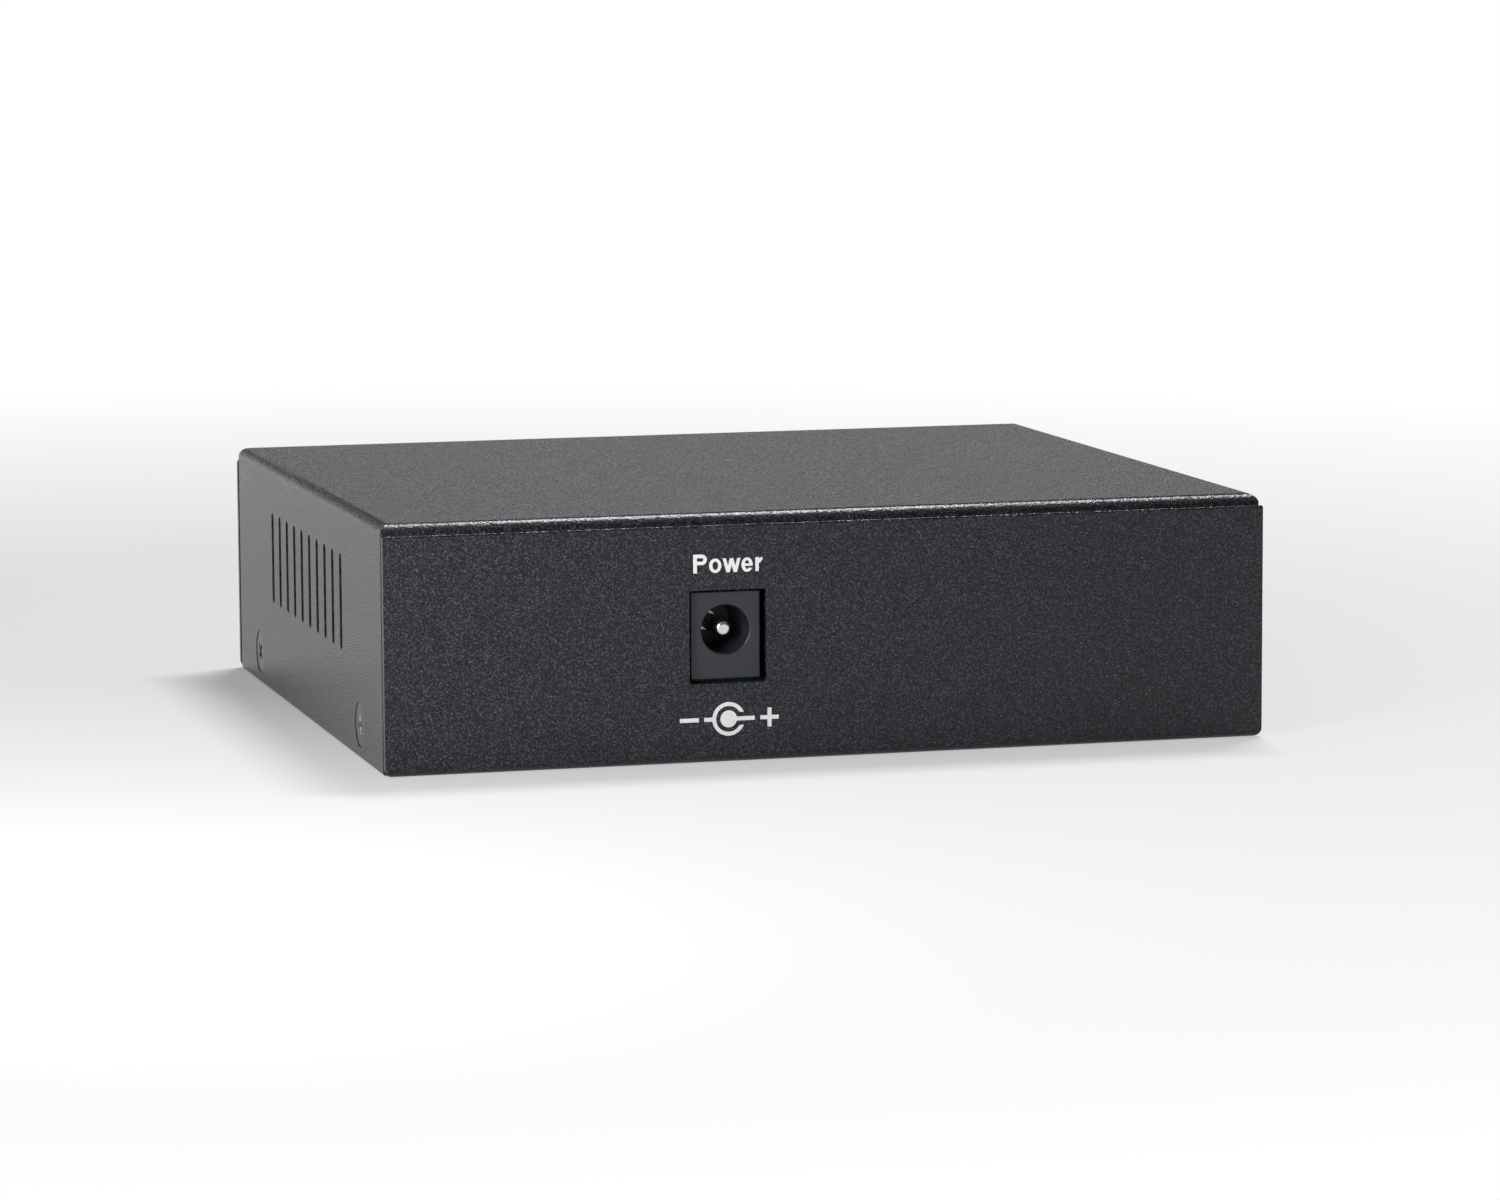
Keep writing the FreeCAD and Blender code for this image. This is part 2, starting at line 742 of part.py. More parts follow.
def power_inductors():
    """Two shielded coils with clipped corners."""
    coils = []
    for place in inductor_places:
        coil = centred_block(place, (inductor_side, inductor_side, inductor_height), board_top)
        upright = [e for e in coil.Edges if near(e.CenterOfMass.z, board_top + inductor_height / 2)]
        coils.append(coil.makeChamfer(inductor_corner, upright))
    return Part.makeCompound(coils)


def bulk_capacitors():
    """Two aluminium cans with the rolled groove above the seal."""
    cans = []
    for x, y in capacitor_places:
        can = rod(capacitor_radius, (x, y, board_top), (0, 0, 1), capacitor_height)
        top = board_top + capacitor_height
        can = rounded(can, capacitor_round, lambda p: near(p.z, top))
        middle = Vector(x, y, board_top + capacitor_groove_height)
        ring = Part.makeTorus(capacitor_radius + capacitor_groove, 2 * capacitor_groove, middle)
        cans.append(can.cut(ring))
    return Part.makeCompound(cans)


def regulator_chips():
    """Two small power-converter chips."""
    return Part.makeCompound([leaded_package(at, memory_body, small_leads, small_pitch) for at in regulator_places])


def chip_capacitors():
    """Small ceramic blocks in a square ring around the network chip."""
    per_side = chip_ring_count // 4
    blocks = []
    for index in range(chip_ring_count):
        turn, step = divmod(index, per_side)
        along = (step - (per_side - 1) / 2) * chip_ring_pitch
        angle = math.radians(90 * turn)
        x = switch_chip_at[0] + chip_ring_radius * math.cos(angle) - along * math.sin(angle)
        y = switch_chip_at[1] + chip_ring_radius * math.sin(angle) + along * math.cos(angle)
        size = chip_size if turn % 2 else (chip_size[1], chip_size[0], chip_size[2])
        blocks.append(centred_block((x, y), size, board_top))
    return Part.makeCompound(blocks)


pieces = {
    "base_tray": base_tray(),
    "screw_brackets": screw_brackets(),
    "top_cover": top_cover(),
    "case_screws": case_screws(),
    "circuit_board": circuit_board(),
    "board_standoffs": board_standoffs(),
    "board_screws": board_screws(),
    "inlet_housing": inlet_housing(),
    "inlet_pin": inlet_pin(),
    "inlet_terminal": inlet_terminal(),
    "inlet_spring": inlet_spring(),
    "light_guide": light_guide(),
    "status_lights": status_lights(),
    "switch_chip": switch_chip(),
    "memory_chip": leaded_package(memory_at, memory_body, small_leads, small_pitch),
    "regulator_chips": regulator_chips(),
    "crystal": crystal(),
    "power_inductors": power_inductors(),
    "bulk_capacitors": bulk_capacitors(),
    "input_diode": centred_block(diode_at, diode_body, board_top),
    "chip_capacitors": chip_capacitors(),
}
for index in range(socket_count):
    number = index + 1
    middle = socket_x(index)
    pieces[f"socket_housing_{number}"] = socket_housing(middle)
    pieces[f"socket_contacts_{number}"] = socket_contacts(middle)
    transformer = leaded_package((middle, transformer_y), transformer_body, transformer_leads, transformer_pitch)
    pieces[f"transformer_{number}"] = transformer

os.makedirs("parts", exist_ok=True)
for name, shape in pieces.items():
    shape.exportStep(os.path.join("parts", name + ".step"))
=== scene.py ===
import math

import bmesh
import bpy
from mathutils import Matrix, Vector


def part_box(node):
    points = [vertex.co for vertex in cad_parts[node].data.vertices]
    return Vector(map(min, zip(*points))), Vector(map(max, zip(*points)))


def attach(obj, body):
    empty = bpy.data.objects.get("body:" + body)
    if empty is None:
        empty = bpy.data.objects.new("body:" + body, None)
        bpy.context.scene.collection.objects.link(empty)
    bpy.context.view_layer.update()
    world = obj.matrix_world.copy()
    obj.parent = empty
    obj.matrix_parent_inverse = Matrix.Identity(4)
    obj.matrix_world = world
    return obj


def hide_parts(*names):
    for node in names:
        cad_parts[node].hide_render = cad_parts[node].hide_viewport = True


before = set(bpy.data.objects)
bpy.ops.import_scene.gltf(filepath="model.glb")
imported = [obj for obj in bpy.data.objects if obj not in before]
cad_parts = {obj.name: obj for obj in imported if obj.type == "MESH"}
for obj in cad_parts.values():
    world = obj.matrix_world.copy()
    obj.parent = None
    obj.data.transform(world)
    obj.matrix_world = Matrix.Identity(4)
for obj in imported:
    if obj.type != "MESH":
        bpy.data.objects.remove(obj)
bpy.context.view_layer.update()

# Base tray: the floor, the socket panel and the inlet panel of the case, one blank of 0.8 mm steel sheet.
# It is punched, folded up at the front and back and powder coated black. The panels' upper edges slope
# down a little towards the inside.
mm = 0.001
sheet = 0.8 * mm
overcut = 1.0 * mm
hair = 0.01 * mm
merge_distance = hair / 10
sharp_angle = math.radians(30)
facing = 0.9
signs = (-1, 1)
tray_low, tray_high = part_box("base_tray")
tray_bend = 1.1 * mm
tray_corner = 1.1 * mm
inlet_panel_corner = 0.3 * mm
socket_panel_corner = 1.1 * mm
tray_rim = 0.1 * mm
cut_lean = math.radians(11)
panel_inside = tray_high.y - sheet
floor_half_width = 54.1 * mm
relief_width = 0.6 * mm
relief_length = 0.8 * mm
socket_count = 5
socket_gap = 0.2 * mm
board_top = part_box("circuit_board")[1].z
light_columns = [x * mm for x in (-49.0, -44.0, -39.0)]
light_rows = [z * mm for z in (14.0, 20.5)]
light_hole_radius = 1.25 * mm
inlet_x = 13.0 * mm
inlet_cut_width = 9.5 * mm
inlet_cut_bottom = 9.65 * mm
inlet_cut_top = 20.85 * mm
inlet_cut_corner = 0.3 * mm
standoff_shank_radius = 1.6 * mm
standoff_places = [(x * mm, y * mm) for x in (-47.5, 47.5) for y in (-28.5, 41.5)]


def only(piece):
    """Makes one object the selected and active one."""
    bpy.ops.object.select_all(action="DESELECT")
    piece.select_set(True)
    bpy.context.view_layer.objects.active = piece


def settle(piece):
    """Moves an object's place, turn and scale into its mesh."""
    only(piece)
    bpy.ops.object.transform_apply(location=True, rotation=True, scale=True)


def block(name, corner, opposite):
    """Cube primitive stretched between two opposite corners."""
    corner, opposite = Vector(corner), Vector(opposite)
    bpy.ops.object.select_all(action="DESELECT")
    bpy.ops.mesh.primitive_cube_add(size=1, location=(corner + opposite) / 2)
    piece = bpy.context.object
    piece.name = name
    piece.scale = [abs(span) for span in opposite - corner]
    settle(piece)
    return piece


def rod(name, radius, start, end, sides=48):
    """Cylinder primitive from one point to another."""
    start, end = Vector(start), Vector(end)
    bpy.ops.object.select_all(action="DESELECT")
    bpy.ops.mesh.primitive_cylinder_add(
        vertices=sides, radius=radius, depth=(end - start).length, location=(start + end) / 2
    )
    piece = bpy.context.object
    piece.name = name
    piece.rotation_euler = (end - start).to_track_quat("Z", "Y").to_euler()
    settle(piece)
    return piece


def near(value, target):
    """True where two coordinates are the same place."""
    return abs(value - target) < hair


def everywhere(p):
    """True at every point."""
    return True


def open_editing(piece, kind):
    """Opens a piece for editing with nothing selected, ready to pick faces or edges."""
    only(piece)
    bpy.ops.object.mode_set(mode="EDIT")
    bpy.ops.mesh.select_mode(type=kind)
    bpy.ops.mesh.select_all(action="DESELECT")
    return bmesh.from_edit_mesh(piece.data)


def close_editing():
    """Goes back from editing to whole objects."""
    bpy.ops.object.mode_set(mode="OBJECT")


def pick_faces(piece, *directions):
    """Opens a piece for editing, with the faces selected that look in one of the directions."""
    mesh = open_editing(piece, "FACE")
    for face in mesh.faces:
        face.select_set(any(face.normal.dot(Vector(way)) > facing for way in directions))
    bmesh.update_edit_mesh(piece.data)


def pick_edges(piece, chosen, along=None, folded=True):
    """Opens a piece for editing, with the sharp edges selected whose two ends pass a test.

    along keeps to edges that run along one axis, and folded=False takes smooth and open edges too.
    """
    mesh = open_editing(piece, "EDGE")
    for edge in mesh.edges:
        sharp = len(edge.link_faces) == 2 and edge.calc_face_angle() > sharp_angle
        run = edge.verts[0].co - edge.verts[1].co
        straight = along is None or near(abs(run["XYZ".index(along)]), run.length)
        if straight and (sharp or not folded):
            edge.select_set(all(chosen(end.co) for end in edge.verts))
    bmesh.update_edit_mesh(piece.data)


def round_edges(piece, radius, segments, chosen=everywhere, along=None):
    """Rounds the sharp edges of a piece whose two ends pass a test."""
    pick_edges(piece, chosen, along)
    bpy.ops.mesh.bevel(offset=radius, segments=segments, affect="EDGES")
    close_editing()


def apply_modifier(piece, kind, **settings):
    """Adds one modifier, sets it and applies it."""
    only(piece)
    modifier = piece.modifiers.new(kind.lower(), kind)
    for name, value in settings.items():
        setattr(modifier, name, value)
    bpy.ops.object.modifier_apply(modifier=modifier.name)


def cut_away(piece, cutter):
    """Cuts the shape of a cutter out of a piece and throws the cutter away."""
    apply_modifier(piece, "BOOLEAN", operation="DIFFERENCE", object=cutter, solver="EXACT")
    bpy.data.objects.remove(cutter)
    bpy.ops.object.mode_set(mode="EDIT")
    bpy.ops.mesh.select_all(action="SELECT")
    bpy.ops.mesh.remove_doubles(threshold=merge_distance)
    bpy.ops.mesh.dissolve_degenerate(threshold=merge_distance)
    close_editing()


def weld_on(piece, addition):
    """Joins a second solid to a piece, without walls left inside."""
    apply_modifier(piece, "BOOLEAN", operation="UNION", object=addition, solver="EXACT")
    bpy.data.objects.remove(addition)


def edge_waste(radius, start, end, outward):
    """Waste of a rounded edge: a bar from the line of the round's middle past the edge, less the round."""
    start, end = Vector(start), Vector(end)
    waste = block("waste", start, end + Vector(outward) * (radius + overcut))
    past = (end - start).normalized() * overcut
    cut_away(waste, rod("round", radius, start - past, end + past, sides=64))
    return waste


def even_shading(piece):
    """Smooth shading over rounds and bends, with the large flat faces kept flat."""
    only(piece)
    bpy.ops.object.shade_smooth_by_angle(angle=sharp_angle)
    apply_modifier(piece, "WEIGHTED_NORMAL", keep_sharp=True)


def socket_box(index):
    """Lowest and highest corner of one socket's housing above the board."""
    low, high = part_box(f"socket_housing_{index + 1}")
    low.z = board_top
    return low, high


tray = block("base_tray_shell", tray_low, tray_high)
pick_faces(tray, (1, 0, 0), (-1, 0, 0), (0, 0, 1))
bpy.ops.mesh.delete(type="FACE")
close_editing()
round_edges(tray, tray_bend, segments=6, chosen=lambda p: near(p.z, 0))
apply_modifier(tray, "SOLIDIFY", thickness=sheet, offset=-1, use_even_offset=True)
for side in signs:
    corner_x = side * (tray_high.x - tray_corner)
    beyond_x = side * (tray_high.x + overcut)
    long_edge = [(corner_x, y, tray_corner) for y in (tray_low.y - overcut, tray_high.y + overcut)]
    cut_away(tray, edge_waste(tray_corner, *long_edge, (side, 0, -1)))
    trim = block(
        "trim_cutter",
        (side * floor_half_width, -panel_inside - hair, -overcut),
        (beyond_x, panel_inside + hair, tray_high.z + overcut),
    )
    cut_away(tray, trim)
    for end in signs:
        notch = block(
            "notch_cutter",
            (side * (floor_half_width - relief_width), end * (panel_inside - relief_length), -overcut),
            (beyond_x, end * (panel_inside + hair), tray_bend),
        )
        cut_away(tray, notch)


def on_upper_corner(p):
    """True at the four upper corners of the panels."""
    return near(p.z, tray_high.z) and near(abs(p.x), tray_high.x)


round_edges(tray, inlet_panel_corner, segments=4, chosen=lambda p: on_upper_corner(p) and p.y > 0)
round_edges(tray, socket_panel_corner, segments=8, chosen=lambda p: on_upper_corner(p) and p.y < 0)
for index in range(socket_count):
    low, high = socket_box(index)
    window_low = (low.x - socket_gap, tray_low.y - overcut, low.z - socket_gap)
    window_high = (high.x + socket_gap, -panel_inside + hair, high.z + socket_gap)
    cut_away(tray, block("window_cutter", window_low, window_high))
for x in light_columns:
    for z in light_rows:
        hole = [(x, y, z) for y in (tray_low.y - overcut, -panel_inside + overcut)]
        cut_away(tray, rod("light_cutter", light_hole_radius, *hole, sides=32))
inlet_cut = block(
    "inlet_cutter",
    (inlet_x - inlet_cut_width / 2, panel_inside - overcut, inlet_cut_bottom),
    (inlet_x + inlet_cut_width / 2, tray_high.y + overcut, inlet_cut_top),
)
round_edges(inlet_cut, inlet_cut_corner, segments=4, along="Y")
cut_away(tray, inlet_cut)


def on_panel_rim(p):
    """True on the outer edges of the panels and of their openings, below the sloped upper edge."""
    return near(abs(p.y), tray_high.y) and tray_bend + hair < p.z < tray_high.z - hair


round_edges(tray, tray_rim, segments=3, chosen=on_panel_rim)
for end in signs:
    lean = block(
        "lean_cutter",
        (tray_low.x - overcut, -end * (sheet + overcut), 0),
        (tray_high.x + overcut, end * overcut, overcut),
    )
    upper_edge = Matrix.Translation((0, end * tray_high.y, tray_high.z - hair))
    lean.matrix_world = upper_edge @ Matrix.Rotation(end * cut_lean, 4, "X")
    settle(lean)
    cut_away(tray, lean)
for x, y in standoff_places:
    cut_away(tray, rod("shank_cutter", standoff_shank_radius, (x, y, -overcut), (x, y, sheet + overcut)))
even_shading(tray)


def new_finish(name, roughness, metallic=0.0, ior=1.5, gloss=0.5):
    """Empty surface finish, with the values set that are the same all over."""
    finish = bpy.data.materials.new(name)
    finish.use_nodes = True
    shader = finish.node_tree.nodes["Principled BSDF"]
    shader.inputs["Roughness"].default_value = roughness
    shader.inputs["Metallic"].default_value = metallic
    shader.inputs["IOR"].default_value = ior
    shader.inputs["Specular IOR Level"].default_value = gloss
    return finish


def grain(finish, size, detail):
    """Noise over the object, with spots of about one size."""
    nodes = finish.node_tree.nodes
    place = nodes.new("ShaderNodeTexCoord")
    noise = nodes.new("ShaderNodeTexNoise")
    noise.inputs["Scale"].default_value = 1 / size
    noise.inputs["Detail"].default_value = detail
    finish.node_tree.links.new(place.outputs["Object"], noise.inputs["Vector"])
    return noise.outputs["Fac"]


def set_stops(ramp, stops):
    """Fills a ramp with its stops, each one a position with a colour or a plain number."""
    elements = ramp.color_ramp.elements
    while len(elements) < len(stops):
        elements.new(0.5)
    for element, (position, value) in zip(elements, stops):
        element.position = position
        element.color = (*value, 1) if isinstance(value, tuple) else (value, value, value, 1)


def shade(finish, socket, pattern, stops):
    """Lets a pattern steer one of the shader's sockets through a ramp of stops."""
    ramp = finish.node_tree.nodes.new("ShaderNodeValToRGB")
    set_stops(ramp, stops)
    links = finish.node_tree.links
    links.new(pattern, ramp.inputs["Fac"])
    links.new(ramp.outputs["Color"], finish.node_tree.nodes["Principled BSDF"].inputs[socket])


def raise_by(finish, pattern, height, strength=1.0):
    """Lets a pattern stand up from the surface by a height, on top of what is raised already."""
    bump = finish.node_tree.nodes.new("ShaderNodeBump")
    bump.inputs["Strength"].default_value = strength
    bump.inputs["Distance"].default_value = height
    links = finish.node_tree.links
    links.new(pattern, bump.inputs["Height"])
    tilt = finish.node_tree.nodes["Principled BSDF"].inputs["Normal"]
    for earlier in tilt.links:
        links.new(earlier.from_socket, bump.inputs["Normal"])
    links.new(bump.outputs["Normal"], tilt)


coat_grain_size = 0.22 * mm
coat_grain_height = 0.05 * mm
coat_peel_size = 0.45 * mm
coat_peel_height = 0.06 * mm
# The coat's colour varies at random with its grain, and its brightest spots are painted glints: they stand in
# for the sparkle of the grain catching the light.
coat_tints_and_painted_glints = [
    (0.32, (0.0004, 0.0004, 0.0006)),
    (0.46, (0.007, 0.007, 0.010)),
    (0.56, (0.023, 0.023, 0.032)),
    (0.66, (0.060, 0.060, 0.084)),
    (0.78, (0.120, 0.120, 0.168)),
]
coat_roughness = [(0.3, 0.32), (0.7, 0.24)]
powder_coat = new_finish("powder_coat", roughness=0.32, gloss=0.37)
coat_grain_and_glint_spots = grain(powder_coat, coat_grain_size, detail=2.0)
coat_peel = grain(powder_coat, coat_peel_size, detail=1.0)
shade(powder_coat, "Base Color", coat_grain_and_glint_spots, coat_tints_and_painted_glints)
shade(powder_coat, "Roughness", coat_grain_and_glint_spots, coat_roughness)
raise_by(powder_coat, coat_peel, coat_peel_height)
raise_by(powder_coat, coat_grain_and_glint_spots, coat_grain_height)


def fit(piece, finish, slot, *nodes):
    """Gives a piece its finish and fixes it to the part, in place of the named nodes."""
    piece.data.materials.clear()
    piece.data.materials.append(finish)
    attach(piece, "root")
    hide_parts(*nodes)


fit(tray, powder_coat, "case_paint", "base_tray")

# Standoffs, board screws and screw brackets: four hexagonal standoffs pressed into the floor, four pan-head
# screws that hold the board on them, and four folded brackets, spot welded to the floor, that the cover is
# screwed to. All of steel, zinc plated bright.
zinc_bloom_size = 1.2 * mm
zinc_bloom_height = 0.005 * mm
zinc_tints = [(0.3, (0.52, 0.53, 0.54)), (0.7, (0.68, 0.68, 0.66))]
zinc_roughness = [(0.3, 0.22), (0.7, 0.36)]


def dress(node, finish):
    """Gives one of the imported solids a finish."""
    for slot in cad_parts[node].material_slots:
        slot.material = finish


bright_zinc = new_finish("bright_zinc", roughness=0.28, metallic=1.0)
zinc_bloom = grain(bright_zinc, zinc_bloom_size, detail=4.0)
shade(bright_zinc, "Base Color", zinc_bloom, zinc_tints)
shade(bright_zinc, "Roughness", zinc_bloom, zinc_roughness)
raise_by(bright_zinc, zinc_bloom, zinc_bloom_height)
for node in ("board_standoffs", "board_screws", "screw_brackets"):
    dress(node, bright_zinc)

# Circuit board: a 1.6 mm panel of glass-fibre laminate under a green lacquer, held at its four corners. The
# lacquer lies a little higher and lighter over the copper than beside it.
copper_area_size = 6.0 * mm
copper_height = 0.03 * mm
lacquer_tints = [(0.49, (0.004, 0.035, 0.015)), (0.51, (0.008, 0.065, 0.028))]
laminate = new_finish("green_lacquer", roughness=0.35)
copper_areas = grain(laminate, copper_area_size, detail=1.0)
shade(laminate, "Base Color", copper_areas, lacquer_tints)
raise_by(laminate, copper_areas, copper_height, strength=0.4)
dress("circuit_board", laminate)

# Parts on the board: moulded packages, drawn cans, ferrite coils and ceramic blocks, soldered in place by
# machine. Each has the plain finish of its own material.
spot_ends = (0.35, 0.65)
spot_roughness_spread = 0.06
spot_height_share = 1 / 30


def speckled(name, dark, light, roughness, size, metallic=0.0):
    """Finish of a moulded, fired or drawn part: two close shades in fine spots, with a slight tooth."""
    finish = new_finish(name, roughness, metallic)
    spots = grain(finish, size, detail=3.0)
    smooth, rough = roughness - spot_roughness_spread, roughness + spot_roughness_spread
    shade(finish, "Base Color", spots, list(zip(spot_ends, (dark, light))))
    shade(finish, "Roughness", spots, list(zip(spot_ends, (smooth, rough))))
    raise_by(finish, spots, size * spot_height_share)
    return finish


moulded_package = speckled(
    "moulded_package",
    dark=(0.014, 0.014, 0.015),
    light=(0.026, 0.026, 0.027),
    roughness=0.55,
    size=0.25 * mm,
)
drawn_can = speckled(
    "drawn_can",
    dark=(0.60, 0.60, 0.61),
    light=(0.74, 0.74, 0.75),
    roughness=0.3,
    size=0.6 * mm,
    metallic=1.0,
)
ferrite = speckled(
    "ferrite",
    dark=(0.05, 0.05, 0.053),
    light=(0.09, 0.09, 0.094),
    roughness=0.7,
    size=0.3 * mm,
)
fired_ceramic = speckled(
    "fired_ceramic",
    dark=(0.36, 0.28, 0.18),
    light=(0.46, 0.37, 0.25),
    roughness=0.5,
    size=0.2 * mm,
)
for node in ("switch_chip", "memory_chip", "regulator_chips", "input_diode"):
    dress(node, moulded_package)
for index in range(socket_count):
    dress(f"transformer_{index + 1}", moulded_package)
for node in ("crystal", "bulk_capacitors"):
    dress(node, drawn_can)
dress("power_inductors", ferrite)
dress("chip_capacitors", fired_ceramic)

# Network sockets: five black plastic mouldings, pegged to the board, flush with the socket panel and with the
# latch side down. Each one has a stepped mouth for the plug, and a channel in its roof that the eight contact
# wires come through.
socket_edge = 0.3 * mm
mouth_width = 11.9 * mm
mouth_bottom = 4.1 * mm
mouth_top = 10.8 * mm
mouth_depth = 12.5 * mm
mouth_edge = 0.15 * mm
latch_width = 6.4 * mm
latch_lever_width = 3.6 * mm
latch_shelf = 2.6 * mm
latch_floor = 1.3 * mm
latch_wall = 2.0 * mm
latch_depth = 10.0 * mm
channel_width = 8.4 * mm
channel_top = 11.7 * mm
channel_front = 1.3 * mm
peg_radius = 1.5 * mm
peg_x = 5.7 * mm
peg_depth = 8.0 * mm
lead_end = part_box("socket_housing_1")[0].z
socket_low, socket_high = socket_box(0)
socket_middle = (socket_low.x + socket_high.x) / 2
socket_length = socket_high.y - socket_low.y
socket_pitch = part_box("socket_housing_2")[0].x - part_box("socket_housing_1")[0].x


def room(width, depth, height):
    """Cutter in the first socket, of a width and between two depths and two heights above the board."""
    low = (socket_middle - width / 2, socket_low.y + depth[0], board_top + height[0])
    high = (socket_middle + width / 2, socket_low.y + depth[1], board_top + height[1])
    return block("room_cutter", low, high)


def on_mouth_rim(p):
    """True on the front edges of the first socket's mouth."""
    return near(p.y, socket_low.y) and abs(p.x - socket_middle) < mouth_width / 2 + hair


def copy_of(piece, name, shift):
    """Copy with a mesh of its own, moved by a shift."""
    only(piece)
    bpy.ops.object.duplicate()
    twin = bpy.context.object
    twin.name = name
    twin.location = shift
    settle(twin)
    return twin


def socket_row(piece, name):
    """The piece of the first socket, and copies of it for the other sockets."""
    row = [piece]
    for index in range(1, socket_count):
        row.append(copy_of(piece, f"{name}_{index + 1}", (index * socket_pitch, 0, 0)))
    return row


shell = block("socket_shell_1", socket_low, socket_high)
round_edges(shell, socket_edge, segments=3, chosen=lambda p: near(p.y, socket_low.y))
cut_away(shell, room(mouth_width, (-overcut, mouth_depth), (mouth_bottom, mouth_top)))
cut_away(shell, room(latch_width, (-overcut, latch_depth), (latch_shelf, mouth_bottom + hair)))
cut_away(shell, room(latch_lever_width, (-overcut, latch_depth), (latch_floor, latch_shelf + hair)))
cut_away(shell, room(latch_width, (latch_wall, latch_depth), (latch_floor, mouth_bottom)))
channel_depth = (channel_front, socket_length + overcut)
cut_away(shell, room(channel_width, channel_depth, (mouth_top - hair, channel_top)))
round_edges(shell, mouth_edge, segments=2, chosen=on_mouth_rim)
for side in signs:
    peg = (socket_middle + side * peg_x, socket_low.y + peg_depth)
    weld_on(shell, rod("peg", peg_radius, (*peg, lead_end), (*peg, board_top + hair), sides=24))
even_shading(shell)
socket_plastic = speckled(
    "socket_plastic",
    dark=(0.012, 0.012, 0.013),
    light=(0.022, 0.022, 0.023),
    roughness=0.42,
    size=0.35 * mm,
)
for index, piece in enumerate(socket_row(shell, "socket_shell")):
    fit(piece, socket_plastic, "socket_plastic", f"socket_housing_{index + 1}")

# Socket contacts: eight flat spring wires a socket, stamped from bronze and gold plated. Each comes up from
# the board behind the housing, runs along the channel in the roof, folds back at the front and slopes down
# into the mouth.
wire_count = 8
wire_pitch = 1.02 * mm
wire_width = 0.46 * mm
wire_thickness = 0.3 * mm
wire_tails = [15.2 * mm, 16.9 * mm]
wire_run = board_top + channel_top - wire_thickness / 2
wire_fold_depth = 2.2 * mm
wire_fold_drop = 1.1 * mm
wire_nose_depth = 1.6 * mm
wire_tip_depth = 9.6 * mm
wire_tip_height = 7.4 * mm
wire_bend = 0.3 * mm
wire_edge = 0.05 * mm


def bent_strip(name, width_axis, width, path, thickness, bend):
    """Strip of sheet that follows a path, extruded edge by edge, with rounded bends and a thickness."""
    across = Vector(width_axis) * width
    path = [Vector(point) for point in path]
    run = path[1] - path[0]
    bpy.ops.object.select_all(action="DESELECT")
    bpy.ops.mesh.primitive_plane_add(size=1)
    strip = bpy.context.object
    strip.name = name
    axes = Matrix((across, run, across.cross(run).normalized())).transposed().to_4x4()
    strip.matrix_world = Matrix.Translation((path[0] + path[1] + across) / 2) @ axes
    settle(strip)
    for here, after in zip(path[1:], path[2:]):
        pick_edges(strip, lambda p: min((p - here).length, (p - here - across).length) < hair, folded=False)
        bpy.ops.mesh.extrude_edges_move(TRANSFORM_OT_translate={"value": after - here})
        close_editing()
    round_edges(strip, bend, segments=4)
    apply_modifier(strip, "SOLIDIFY", thickness=thickness, offset=0, use_even_offset=True)
    return strip


def join(pieces):
    """Makes several objects one, under the first one's name."""
    only(pieces[0])
    for piece in pieces[1:]:
        piece.select_set(True)
    bpy.ops.object.join()
    return pieces[0]


wires = []
for index in range(wire_count):
    x = socket_middle + (index - (wire_count - 1) / 2) * wire_pitch - wire_width / 2
    tail = wire_tails[index % 2]
    profile = [
        (tail, lead_end),
        (tail, wire_run),
        (wire_fold_depth, wire_run),
        (wire_nose_depth, wire_run - wire_fold_drop / 2),
        (wire_fold_depth, wire_run - wire_fold_drop),
        (wire_tip_depth, board_top + wire_tip_height),
    ]
    path = [(x, socket_low.y + depth, z) for depth, z in profile]
    wire = bent_strip(f"socket_wires_{index + 1}", (1, 0, 0), wire_width, path, wire_thickness, wire_bend)
    round_edges(wire, wire_edge, segments=1)
    wires.append(wire)
contacts = join(wires)
even_shading(contacts)
gold_plate = speckled(
    "gold_plate",
    dark=(0.78, 0.52, 0.17),
    light=(0.90, 0.66, 0.27),
    roughness=0.2,
    size=0.4 * mm,
    metallic=1.0,
)
for index, piece in enumerate(socket_row(contacts, "socket_wires")):
    fit(piece, gold_plate, "gold_plate", f"socket_contacts_{index + 1}")

# Status lights: six pale light chips soldered to the board, under one moulding of clear plastic that leads
# their light forward to six holes in the socket panel.
haze_size = 0.8 * mm
haze_tints = [(0.3, (0.80, 0.84, 0.84)), (0.7, (0.90, 0.93, 0.93))]
haze_roughness = [(0.3, 0.16), (0.7, 0.30)]
clearness = 0.85
clear_plastic = new_finish("clear_plastic", roughness=0.22, ior=1.49)
clear_shader = clear_plastic.node_tree.nodes["Principled BSDF"]
clear_shader.inputs["Transmission Weight"].default_value = clearness
haze = grain(clear_plastic, haze_size, detail=2.0)
shade(clear_plastic, "Base Color", haze, haze_tints)
shade(clear_plastic, "Roughness", haze, haze_roughness)
dress("light_guide", clear_plastic)
pale_resin = speckled(
    "pale_resin",
    dark=(0.74, 0.66, 0.36),
    light=(0.84, 0.78, 0.50),
    roughness=0.3,
    size=0.3 * mm,
)
dress("status_lights", pale_resin)

